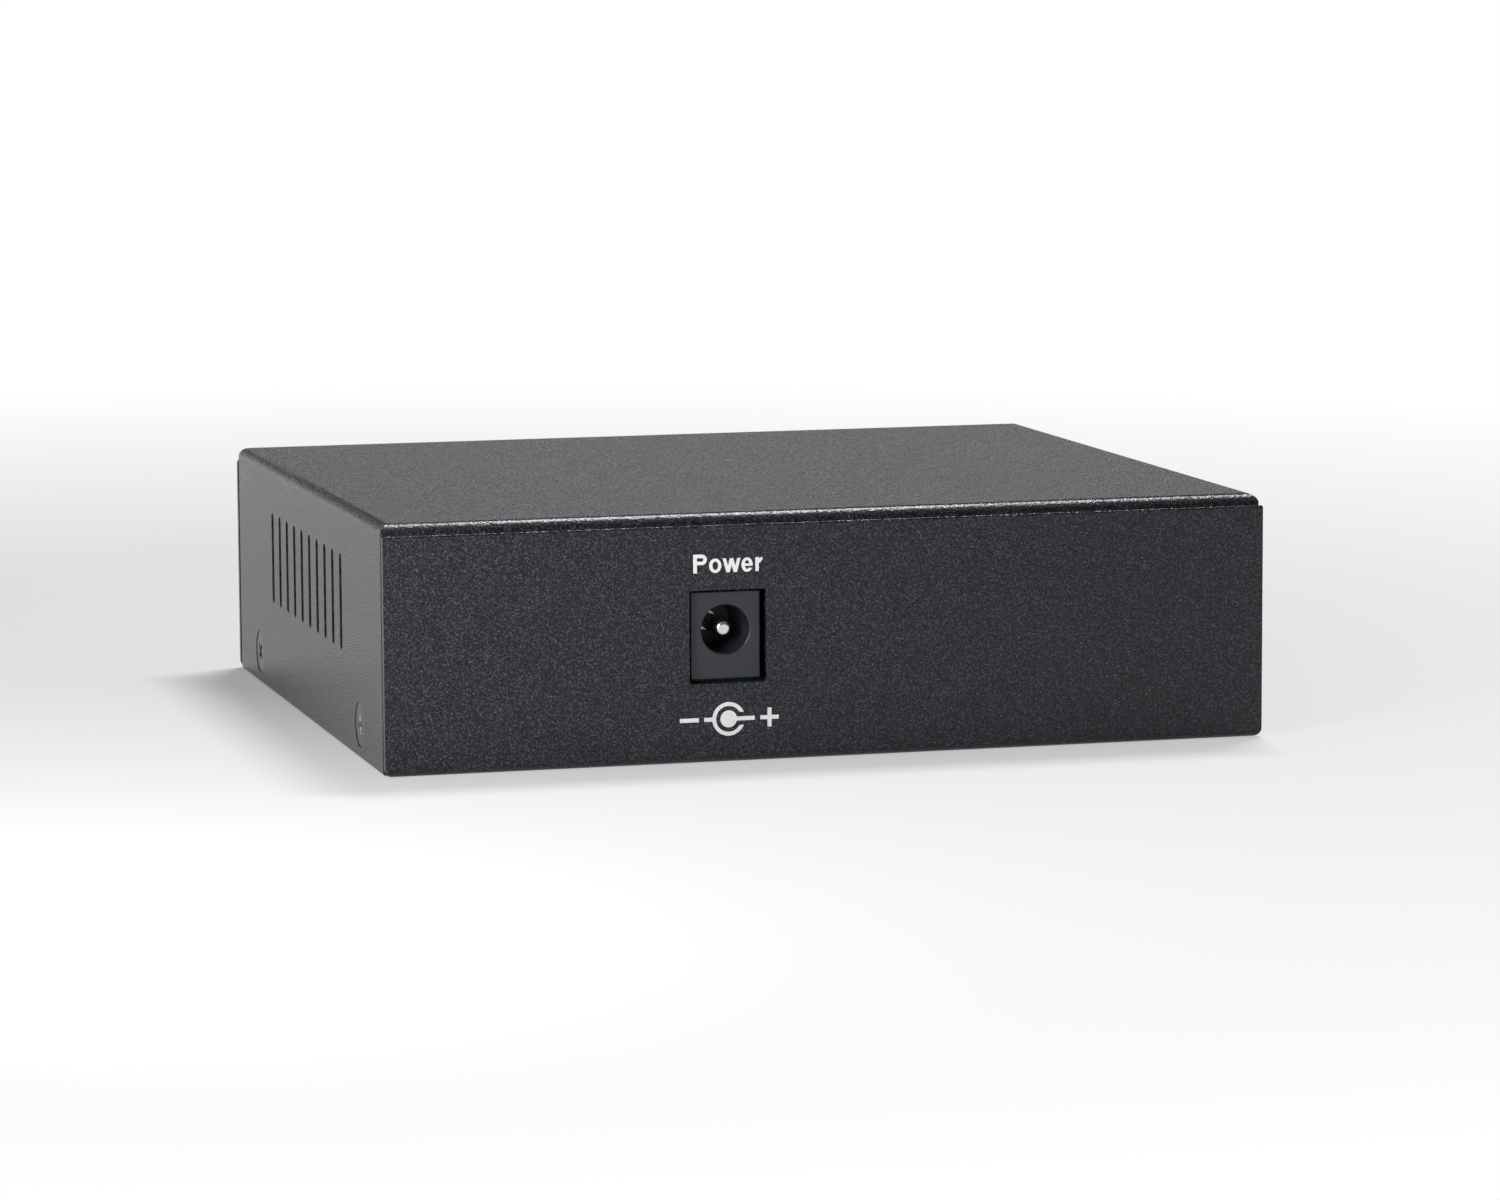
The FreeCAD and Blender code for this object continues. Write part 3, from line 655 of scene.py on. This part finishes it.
# Power inlet housing: one black plastic moulding on the board, behind the cut-out of the rear panel. It has a
# square front block, a round-topped body behind it, and a hole for the plug with a side window that the
# spring comes through.
inlet_low, inlet_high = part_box("inlet_housing")
inlet_block_length = 3.4 * mm
inlet_barrel_radius = 4.0 * mm
inlet_edge = 0.2 * mm
inlet_axis_z = 15.95 * mm
inlet_hole_radius = 2.95 * mm
inlet_hole_depth = 9.5 * mm
inlet_hole_edge = 0.25 * mm
pin_root_radius = 1.25 * mm
spring_low = inlet_axis_z - 0.35 * mm
spring_high = inlet_axis_z + 1.85 * mm
spring_room = 0.1 * mm
spring_seat = inlet_x + 3.7 * mm
spring_rear = 38.9 * mm
spring_leg_width = 1.2 * mm
spring_thickness = 0.25 * mm
window_inner = 2.2 * mm
window_outer = 4.05 * mm
window_front = 46.7 * mm
hole_end = inlet_high.y - inlet_hole_depth
shoulder = inlet_high.y - inlet_block_length
barrel_top = inlet_axis_z + inlet_barrel_radius


def on_axis(y):
    """Point on the axis of the plug hole."""
    return (inlet_x, y, inlet_axis_z)


def on_hole_rim(p):
    """True on the front rim of the plug hole."""
    reach = math.hypot(p.x - inlet_x, p.z - inlet_axis_z)
    return near(p.y, inlet_high.y) and near(reach, inlet_hole_radius)


housing = block("inlet_body", (inlet_low.x, shoulder, inlet_low.z), inlet_high)
round_edges(housing, inlet_edge, segments=3, chosen=lambda p: near(p.y, inlet_high.y))
barrel = block(
    "barrel",
    (inlet_x - inlet_barrel_radius, inlet_low.y, inlet_low.z),
    (inlet_x + inlet_barrel_radius, shoulder + hair, barrel_top),
)
barrel_round = inlet_barrel_radius - hair
round_edges(barrel, barrel_round, segments=12, chosen=lambda p: near(p.z, barrel_top), along="Y")
weld_on(housing, barrel)
cut_away(housing, rod("hole_cutter", inlet_hole_radius, on_axis(hole_end), on_axis(tray_high.y), sides=72))
bore = [on_axis(y) for y in (inlet_low.y - overcut, hole_end + hair)]
cut_away(housing, rod("bore_cutter", pin_root_radius, *bore))
window = block(
    "window_cutter",
    (inlet_x + window_inner, hole_end, spring_low - spring_room),
    (inlet_x + window_outer, window_front, spring_high + spring_room),
)
cut_away(housing, window)
groove = block(
    "groove_cutter",
    (spring_seat - spring_thickness / 2, spring_rear - spring_room, inlet_low.z - overcut),
    (inlet_high.x + overcut, spring_rear + spring_leg_width + spring_room, spring_low - spring_room + hair),
)
cut_away(housing, groove)
round_edges(housing, inlet_hole_edge, segments=4, chosen=on_hole_rim)
even_shading(housing)
inlet_plastic = speckled(
    "inlet_plastic",
    dark=(0.020, 0.019, 0.027),
    light=(0.030, 0.029, 0.042),
    roughness=0.38,
    size=0.3 * mm,
)
fit(housing, inlet_plastic, "inlet_plastic", "inlet_housing")

# Inlet pin and terminal: the centre contact of the power inlet, turned from brass and nickel plated bright. A
# round-nosed pin on a thicker root, riveted behind the housing through a flat terminal of plated steel that
# goes down to the board.
pin_low, pin_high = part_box("inlet_pin")
pin_radius = 1.0 * mm
pin_nose = 0.6 * mm
rivet_length = 0.4 * mm
rivet_radius = 1.5 * mm
tail_y = pin_low.y + rivet_length
pin = rod("inlet_centre_pin", pin_root_radius, on_axis(tail_y), on_axis(hole_end))
pick_faces(pin, (0, 1, 0))
bpy.ops.mesh.inset(thickness=pin_root_radius - pin_radius)
bpy.ops.mesh.extrude_region_move(TRANSFORM_OT_translate={"value": (0, pin_high.y - hole_end, 0)})
close_editing()
round_edges(pin, pin_nose, segments=8, chosen=lambda p: near(p.y, pin_high.y))
weld_on(pin, rod("rivet", rivet_radius, on_axis(pin_low.y), on_axis(tail_y + hair)))
even_shading(pin)
nickel_plate = speckled(
    "nickel_plate",
    dark=(0.66, 0.64, 0.60),
    light=(0.78, 0.76, 0.71),
    roughness=0.22,
    size=0.5 * mm,
    metallic=1.0,
)
fit(pin, nickel_plate, "nickel_plate", "inlet_pin")
dress("inlet_terminal", bright_zinc)

# Inlet spring: a leaf of spring steel at the side of the plug hole, bowed towards the pin, with a leg at its
# rear end that goes down through a groove in the housing to the board.
spring_bulge = inlet_x + 2.4 * mm
spring_middle = 42.6 * mm
spring_half_length = 3.1 * mm
spring_shoulder_share = 0.3
spring_shoulder_drop = 0.26 * mm
spring_bend = 0.2 * mm
shoulder_x = spring_bulge + spring_shoulder_drop
shoulder_reach = spring_half_length * spring_shoulder_share
bow = [
    (spring_seat, spring_rear),
    (spring_seat, spring_rear + spring_leg_width),
    (shoulder_x, spring_middle - shoulder_reach),
    (spring_bulge, spring_middle),
    (shoulder_x, spring_middle + shoulder_reach),
    (spring_seat, spring_middle + spring_half_length),
]
path = [(x, y, spring_low) for x, y in bow]
leaf_width = spring_high - spring_low
spring = bent_strip("inlet_side_spring", (0, 0, 1), leaf_width, path, spring_thickness, spring_bend)
leg = block(
    "leg",
    (spring_seat - spring_thickness / 2, spring_rear, lead_end),
    (spring_seat + spring_thickness / 2, spring_rear + spring_leg_width, spring_low + hair),
)
weld_on(spring, leg)
even_shading(spring)
spring_steel = speckled(
    "spring_steel",
    dark=(0.30, 0.30, 0.31),
    light=(0.38, 0.38, 0.39),
    roughness=0.35,
    size=0.5 * mm,
    metallic=1.0,
)
fit(spring, spring_steel, "bright_steel", "inlet_spring")

# Top cover: the top and both sides of the case, folded from one blank of the same steel and powder coated.
# Ten vent slots and two countersunk holes are punched in each side, and a lip at each end stands behind a
# panel of the tray.
cover_low, cover_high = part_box("top_cover")
cover_bend = 1.35 * mm
cover_rim = 0.3 * mm
lip_bend = 1.5 * mm
lip_height = 5.0 * mm
lip_relief_width = 0.6 * mm
vent_count = 10
vent_pitch = 5.08 * mm
vent_width = 1.5 * mm
vent_bottom = 12.0 * mm
vent_top = 23.85 * mm
countersink_radius = 2.8 * mm
case_screw_y = 33.6 * mm
case_screw_z = 4.25 * mm


def cover_skin(name, inset, bottom):
    """Box within the cover's outer face by an inset, with its top rounded at both sides and both ends."""
    width, depth, top = cover_high - Vector((inset, inset, inset))
    skin = block(name, (-width, -depth, bottom), (width, depth, top))
    long_x, long_z = width - cover_bend + inset, top - cover_bend + inset
    end_y, end_z = depth - lip_bend + inset, top - lip_bend + inset
    past_x = tray_high.x + overcut
    for sign in signs:
        long_edge = [(sign * long_x, y, long_z) for y in (-tray_high.y, tray_high.y)]
        cut_away(skin, edge_waste(cover_bend - inset, *long_edge, (sign, 0, 1)))
        end_edge = [(x, sign * end_y, end_z) for x in (-past_x, past_x)]
        cut_away(skin, edge_waste(lip_bend - inset, *end_edge, (0, sign, 1)))
    return skin


cover = cover_skin("top_cover_shell", 0, cover_low.z)
rim_x, rim_y = cover_high.x - cover_rim, cover_high.y - cover_rim
foot_z = cover_low.z + cover_rim
for side in signs:
    for end in signs:
        upright = [(side * rim_x, end * rim_y, z) for z in (-overcut, cover_high.z + overcut)]
        cut_away(cover, edge_waste(cover_rim, *upright, (side, end, 0)))
    foot = [(side * rim_x, y, foot_z) for y in (tray_low.y, tray_high.y)]
    cut_away(cover, edge_waste(cover_rim, *foot, (side, 0, -1)))
inside = cover_high.x - sheet
cut_away(cover, cover_skin("hollow", sheet, -overcut))
lip_foot = cover_high.z - lip_height
cut_away(cover, block("end_cutter", (-inside, tray_low.y, -overcut), (inside, tray_high.y, lip_foot)))
for side in signs:
    relief = block(
        "relief_cutter",
        (side * (inside - lip_relief_width), tray_low.y, -overcut),
        (side * inside, tray_high.y, cover_high.z - lip_bend),
    )
    cut_away(cover, relief)
vents = []
for index in range(vent_count):
    y = (index - (vent_count - 1) / 2) * vent_pitch
    vent = block(
        f"vent_cutter_{index}",
        (cover_low.x - overcut, y - vent_width / 2, vent_bottom),
        (cover_high.x + overcut, y + vent_width / 2, vent_top),
    )
    round_edges(vent, vent_width / 2 - hair, segments=6, along="X")
    vents.append(vent)
cut_away(cover, join(vents))
for side in signs:
    for end in signs:
        tip = (side * (cover_high.x - countersink_radius), end * case_screw_y, case_screw_z)
        mouth = (side * (cover_high.x + overcut), end * case_screw_y, case_screw_z)
        sink = rod("countersink", countersink_radius + overcut, tip, mouth, sides=64)
        pick_faces(sink, (-side, 0, 0))
        bpy.ops.mesh.merge(type="CENTER")
        close_editing()
        cut_away(cover, sink)
even_shading(cover)
fit(cover, powder_coat, "case_paint", "top_cover")

# Case screws: four flat-head screws with a cross recess that hold the cover's sides to the brackets. Cold
# headed from steel and zinc plated, passivated dark grey, with their heads just below the paint.
head_radius = 2.65 * mm
head_rim = 0.1 * mm
head_sink = 0.09 * mm
head_edge = 0.06 * mm
shank_radius = 1.45 * mm
shank_length = 5.0 * mm
neck = head_radius - shank_radius
narrow = shank_radius / head_radius
recess_length = 2.6 * mm
recess_width = 0.7 * mm
recess_depth = 1.1 * mm
recess_taper = 0.45
recess_edge = 0.04 * mm
recess_reach = head_radius - head_edge
screw_turns = [math.radians(angle) for angle in (12, 38, 45, 8)]
screw_corners = [(side, end) for side in signs for end in signs]
screw = rod("case_screw_1", head_radius, (0, 0, -head_rim), (0, 0, 0), sides=64)
pick_faces(screw, (0, 0, -1))
bpy.ops.mesh.extrude_region_move(TRANSFORM_OT_translate={"value": (0, 0, -neck)})
bpy.ops.transform.resize(value=(narrow, narrow, 1), center_override=(0, 0, 0))
bpy.ops.mesh.extrude_region_move(TRANSFORM_OT_translate={"value": (0, 0, neck - shank_length)})
close_editing()
arms = []
for length, width in ((recess_length, recess_width), (recess_width, recess_length)):
    arm = block("recess_arm", (-length / 2, -width / 2, -recess_depth), (length / 2, width / 2, hair))
    pick_faces(arm, (0, 0, -1))
    bpy.ops.transform.resize(value=(recess_taper, recess_taper, 1), center_override=(0, 0, 0))
    close_editing()
    arms.append(arm)
weld_on(arms[0], arms[1])
cut_away(screw, arms[0])
round_edges(screw, recess_edge, segments=2, chosen=lambda p: near(p.z, 0) and p.length < recess_reach)
round_edges(screw, head_edge, segments=2, chosen=lambda p: near(p.z, 0) and p.length > recess_reach)
even_shading(screw)
dark_zinc = speckled(
    "dark_zinc",
    dark=(0.11, 0.11, 0.113),
    light=(0.16, 0.16, 0.164),
    roughness=0.36,
    size=0.5 * mm,
    metallic=1.0,
)
screws = [screw]
for index in range(1, len(screw_corners)):
    screws.append(copy_of(screw, f"case_screw_{index + 1}", (0, 0, 0)))
for piece, (side, end), turn in zip(screws, screw_corners, screw_turns):
    face = Vector((side * (cover_high.x - head_sink), end * case_screw_y, case_screw_z))
    outward = Matrix.Rotation(side * math.pi / 2, 4, "Y")
    piece.matrix_world = Matrix.Translation(face) @ outward @ Matrix.Rotation(turn, 4, "Z")
    settle(piece)
    fit(piece, dark_zinc, "dark_zinc", "case_screws")

# Print: white ink, screen printed on the painted panels. On the rear panel the word over the power inlet and
# the polarity sign below it, and on the socket panel plain numbers for the sockets and their lights.
ink_thickness = 0.015 * mm
rear_face = tray_high.y
front_face = tray_low.y
word_width = 8.56 * mm
word_height = 2.25 * mm
word_baseline = 23.0 * mm
word_left = inlet_x + word_width / 2
letter_lefts = [left * mm for left in (0, 1.955, 3.63, 5.96, 7.69)]
letter_stroke = 0.42 * mm
small_height = 1.68 * mm
overshoot = 0.03 * mm


def ink_bar(x, z):
    """Bar of ink on the rear panel between two places along X and two heights."""
    lower = (x[0], rear_face - ink_thickness, z[0])
    upper = (x[1], rear_face + ink_thickness, z[1])
    return block("ink", lower, upper)


def ink_disc(x, z, radius):
    """Disc of ink on the rear panel."""
    return rod("ink", radius, (x, rear_face - ink_thickness, z), (x, rear_face + ink_thickness, z), sides=64)


def through_ink(piece):
    """Cutter that goes through the ink: a flat piece of ink made three times as thick."""
    thicker = 3
    piece.scale.y = thicker
    piece.location.y = (1 - thicker) * rear_face
    settle(piece)
    return piece


def letter_bar(left, right, low, high):
    """Upright or level stroke of a letter, from the word's left end and up from its baseline."""
    return ink_bar((word_left - left, word_left - right), (word_baseline + low, word_baseline + high))


def slant(left, right, low, high):
    """Sloping stroke of a letter: a level-ended bar with its lower end at left and its upper end at right."""
    bar = letter_bar(left, left + letter_stroke, low, high)
    pick_faces(bar, (0, 0, 1))
    bpy.ops.transform.translate(value=(left - right, 0, 0))
    close_editing()
    return bar


def oval(left, width, low, height):
    """Disc of ink stretched to an oval."""
    disc = ink_disc(0, 0, 0.5)
    disc.scale = (width, 1, height)
    disc.location = (word_left - left - width / 2, 0, word_baseline + low + height / 2)
    settle(disc)
    return disc


def oval_ring(left, width, low, height, side_stroke, level_stroke):
    """Ring of ink with upright and level strokes of their own widths."""
    ring = oval(left, width, low, height)
    inner_width, inner_height = width - 2 * side_stroke, height - 2 * level_stroke
    cut_away(ring, through_ink(oval(left + side_stroke, inner_width, low + level_stroke, inner_height)))
    return ring


def letter_p(left):
    """Capital P: an upright stem with a round bowl on its upper half."""
    bowl_low = 0.98 * mm
    bowl_width = 1.68 * mm
    stem = 0.46 * mm
    bowl_height = word_height - bowl_low
    round_left = bowl_width - bowl_height
    letter = oval(left + round_left, bowl_height, bowl_low, bowl_height)
    weld_on(letter, letter_bar(left, left + bowl_width - bowl_height / 2, bowl_low, word_height))
    hole_low = bowl_low + letter_stroke
    hole_height = bowl_height - 2 * letter_stroke
    hole_right = left + bowl_width - letter_stroke
    hole = oval(hole_right - hole_height, hole_height, hole_low, hole_height)
    hole_middle = hole_right - hole_height / 2
    weld_on(hole, letter_bar(left + stem, hole_middle, hole_low, word_height - letter_stroke))
    cut_away(letter, through_ink(hole))
    weld_on(letter, letter_bar(left, left + stem, 0, word_height))
    return letter


def letter_o(left):
    """Small o: an oval ring."""
    width = 1.53 * mm
    level_stroke = 0.36 * mm
    return oval_ring(left, width, -overshoot, small_height + 2 * overshoot, letter_stroke, level_stroke)


def letter_w(left):
    """Small w: four sloping strokes."""
    width = 2.23 * mm
    foot = 0.46 * mm
    inner_foot = width - foot - letter_stroke
    peak, end = (width - letter_stroke) / 2, width - letter_stroke
    letter = slant(left + foot, left, 0, small_height)
    weld_on(letter, slant(left + foot, left + peak, 0, small_height))
    weld_on(letter, slant(left + inner_foot, left + peak, 0, small_height))
    weld_on(letter, slant(left + inner_foot, left + end, 0, small_height))
    return letter


def letter_e(left):
    """Small e: an oval ring, open at its lower right, with a level bar."""
    width = 1.40 * mm
    level_stroke = 0.34 * mm
    gap_low = 0.44 * mm
    bar_low = 0.68 * mm
    bar_high = 0.98 * mm
    letter = oval_ring(left, width, -overshoot, small_height + 2 * overshoot, letter_stroke, level_stroke)
    cut_away(letter, through_ink(letter_bar(left + width / 2, left + 2 * width, gap_low, bar_low)))
    weld_on(letter, letter_bar(left + letter_stroke / 2, left + width - hair, bar_low, bar_high))
    return letter


def letter_r(left):
    """Small r: a stem with a short arm that curves off to the right."""
    arm_width = 0.875 * mm
    arm_stroke = 0.40 * mm
    reach = 2 * (arm_width - letter_stroke / 2)
    letter = oval_ring(left + letter_stroke / 2, reach, small_height - reach, reach, arm_stroke, arm_stroke)
    below = letter_bar(left - reach, left + 2 * reach, -word_height, small_height - reach / 2)
    cut_away(letter, through_ink(below))
    beyond = letter_bar(left + arm_width, left + 2 * reach, -word_height, word_height)
    cut_away(letter, through_ink(beyond))
    weld_on(letter, letter_bar(left, left + letter_stroke, 0, small_height))
    return letter


letters = (letter_p, letter_o, letter_w, letter_e, letter_r)
power_word = join([letter(left) for letter, left in zip(letters, letter_lefts)])
power_word.name = "print_power"
sign_z = 5.28 * mm
sign_stroke = 0.5 * mm
ring_radius = 2.035 * mm
ring_stroke = 0.47 * mm
ring_gap = 0.8 * mm
dot_radius = 1.03 * mm
minus_left, minus_right = 19.06 * mm, 16.70 * mm
ring_line_left = 16.04 * mm
dot_line_right = 9.76 * mm
plus_x = 7.92 * mm
plus_half = 1.15 * mm


def sign_bar(left, right):
    """Level stroke of the polarity sign, between two places along X."""
    return ink_bar((left, right), (sign_z - sign_stroke / 2, sign_z + sign_stroke / 2))


polarity_sign = ink_disc(inlet_x, sign_z, ring_radius)
polarity_sign.name = "print_polarity"
cut_away(polarity_sign, through_ink(ink_disc(inlet_x, sign_z, ring_radius - ring_stroke)))
ring_opening = ink_bar((inlet_x - 2 * ring_radius, inlet_x), (sign_z - ring_gap, sign_z + ring_gap))
cut_away(polarity_sign, through_ink(ring_opening))
weld_on(polarity_sign, ink_disc(inlet_x, sign_z, dot_radius))
weld_on(polarity_sign, sign_bar(minus_left, minus_right))
weld_on(polarity_sign, sign_bar(ring_line_left, inlet_x + ring_radius - ring_stroke / 2))
weld_on(polarity_sign, sign_bar(inlet_x - dot_radius / 2, dot_line_right))
weld_on(polarity_sign, sign_bar(plus_x - plus_half, plus_x + plus_half))
plus_stroke = (plus_x - sign_stroke / 2, plus_x + sign_stroke / 2)
weld_on(polarity_sign, ink_bar(plus_stroke, (sign_z - plus_half, sign_z + plus_half)))
number_height = 2.0 * mm
number_baseline = 25.0 * mm
number_weight = 0.018
number_extrude = 0.01
light_number_height = 1.4 * mm
light_number_lift = 1.8 * mm


def printed_number(name, number, height, x, baseline):
    """Number of a given height, printed on the socket panel and centred on a place along X."""
    bpy.ops.object.select_all(action="DESELECT")
    bpy.ops.object.text_add()
    text = bpy.context.object.data
    text.body = str(number)
    text.align_x = "CENTER"
    text.offset = number_weight
    text.extrude = number_extrude
    bpy.ops.object.convert(target="MESH")
    piece = bpy.context.object
    piece.name = name
    size = piece.dimensions
    piece.scale = (height / size.y, height / size.y, 2 * ink_thickness / size.z)
    piece.rotation_euler = (math.pi / 2, 0, 0)
    piece.location = (x, front_face, baseline)
    settle(piece)
    return piece


prints = [power_word, polarity_sign]
for index in range(socket_count):
    number = index + 1
    x = socket_middle + index * socket_pitch
    prints.append(printed_number(f"print_socket_{number}", number, number_height, x, number_baseline))
light_places = [(x, z) for z in reversed(light_rows) for x in light_columns]
# The first light shows the power, and has no number.
for number, (x, z) in enumerate(light_places[1:], start=1):
    baseline = z + light_number_lift
    prints.append(printed_number(f"print_light_{number}", number, light_number_height, x, baseline))
white_ink = speckled(
    "white_ink",
    dark=(0.90, 0.90, 0.90),
    light=(0.96, 0.96, 0.96),
    roughness=0.5,
    size=0.4 * mm,
)
for piece in prints:
    fit(piece, white_ink, "case_paint")

# Floor: a white studio sweep, flat a hair under the part and curved up at its rim, which takes the part's
# shadow. The camera and shiny or clear surfaces also see it glow, more so further away from the part, so that
# it makes a plain white background.
floor_radius = 3.0
floor_sides = 128
sweep_height = 0.45
sweep_bend = 0.3
floor_white = 0.60
glow_middle = (0.02, -0.10, 0)
near_glow = (0.08, 0.22)
far_glow = (0.36, 1.0)
bpy.ops.object.select_all(action="DESELECT")
bpy.ops.mesh.primitive_circle_add(
    vertices=floor_sides, radius=floor_radius, fill_type="NGON", location=(0, 0, -hair)
)
floor = bpy.context.object
floor.name = "studio_floor"
pick_edges(floor, everywhere, folded=False)
bpy.ops.mesh.extrude_edges_move(TRANSFORM_OT_translate={"value": (0, 0, sweep_height)})
close_editing()
round_edges(floor, sweep_bend, segments=8, chosen=lambda p: near(p.z, 0))
only(floor)
bpy.ops.object.shade_smooth_by_angle(angle=sharp_angle)
sweep = new_finish("studio_white", roughness=0.9, gloss=0.0)
nodes = sweep.node_tree.nodes
links = sweep.node_tree.links
matt = nodes["Principled BSDF"]
matt.inputs["Base Color"].default_value = (floor_white, floor_white, floor_white, 1)
spot = nodes.new("ShaderNodeTexCoord")
distance = nodes.new("ShaderNodeVectorMath")
distance.operation = "DISTANCE"
distance.inputs[1].default_value = glow_middle
links.new(spot.outputs["Object"], distance.inputs[0])
glow_share = nodes.new("ShaderNodeMapRange")
glow_share.inputs["From Min"].default_value = near_glow[0]
glow_share.inputs["From Max"].default_value = far_glow[0]
glow_share.inputs["To Min"].default_value = near_glow[1]
glow_share.inputs["To Max"].default_value = far_glow[1]
links.new(distance.outputs["Value"], glow_share.inputs["Value"])
rays = nodes.new("ShaderNodeLightPath")
seen = rays.outputs["Is Camera Ray"]
for kind in ("Is Glossy Ray", "Is Transmission Ray"):
    either = nodes.new("ShaderNodeMath")
    either.operation = "MAXIMUM"
    links.new(seen, either.inputs[0])
    links.new(rays.outputs[kind], either.inputs[1])
    seen = either.outputs["Value"]
share = nodes.new("ShaderNodeMath")
share.operation = "MULTIPLY"
links.new(seen, share.inputs[0])
links.new(glow_share.outputs["Result"], share.inputs[1])
glow = nodes.new("ShaderNodeEmission")
blend = nodes.new("ShaderNodeMixShader")
links.new(share.outputs["Value"], blend.inputs["Fac"])
links.new(matt.outputs["BSDF"], blend.inputs[1])
links.new(glow.outputs["Emission"], blend.inputs[2])
links.new(blend.outputs["Shader"], nodes["Material Output"].inputs["Surface"])
floor.data.materials.append(sweep)

# Light: a long soft box high up behind the part, as the camera sees it, a small fill box low beside the inlet
# panel on the camera's left, and a dim room that is dark low down and lighter overhead.
overhead_place = (-0.27, -0.35, 1.0)
overhead_size = (0.42, 0.14)
overhead_energy = 10.5
fill_place = (0.14, 0.17, 0.07)
fill_size = (0.06, 0.06)
fill_energy = 0.24
room_stops = [(0.14, 0.01), (0.40, 0.02), (0.70, 0.30), (1.0, 0.45)]


def soft_box(name, place, size, energy):
    """Lamp of a width and a depth that faces the part."""
    bpy.ops.object.light_add(type="AREA", location=place)
    lamp = bpy.context.object
    lamp.name = name
    lamp.data.shape = "RECTANGLE"
    lamp.data.size, lamp.data.size_y = size
    lamp.data.energy = energy
    lamp.rotation_euler = (-Vector(place)).to_track_quat("-Z", "Y").to_euler()


soft_box("overhead_box", overhead_place, overhead_size, overhead_energy)
soft_box("fill_box", fill_place, fill_size, fill_energy)
room_light = bpy.data.worlds.new("studio_room")
bpy.context.scene.world = room_light
room_light.use_nodes = True
room_nodes = room_light.node_tree.nodes
room_links = room_light.node_tree.links
heading = room_nodes.new("ShaderNodeTexCoord")
level = room_nodes.new("ShaderNodeSeparateXYZ")
levels = room_nodes.new("ShaderNodeValToRGB")
set_stops(levels, room_stops)
room_links.new(heading.outputs["Generated"], level.inputs["Vector"])
room_links.new(level.outputs["Z"], levels.inputs["Fac"])
room_links.new(levels.outputs["Color"], room_nodes["Background"].inputs["Color"])

# Camera: a long lens behind the switch, a little above the case and off to one side of the power inlet. Its
# place, turn and focal length come from a fit to the outline of the case.
camera_place = (182.307 * mm, 680.333 * mm, 104.477 * mm)
camera_turn = [math.radians(angle) for angle in (82.6046, 0.2930, 164.7196)]
frame_width = 1500
focal_pixels = 5510.0
sensor_width = 36.0
near_clip = 0.01
bpy.ops.object.camera_add(location=camera_place, rotation=camera_turn)
camera = bpy.context.object
camera.name = "camera"
camera.data.sensor_fit = "HORIZONTAL"
camera.data.sensor_width = sensor_width
camera.data.lens = focal_pixels * sensor_width / frame_width
camera.data.clip_start = near_clip
bpy.context.scene.camera = camera
bpy.context.scene.view_settings.view_transform = "Standard"
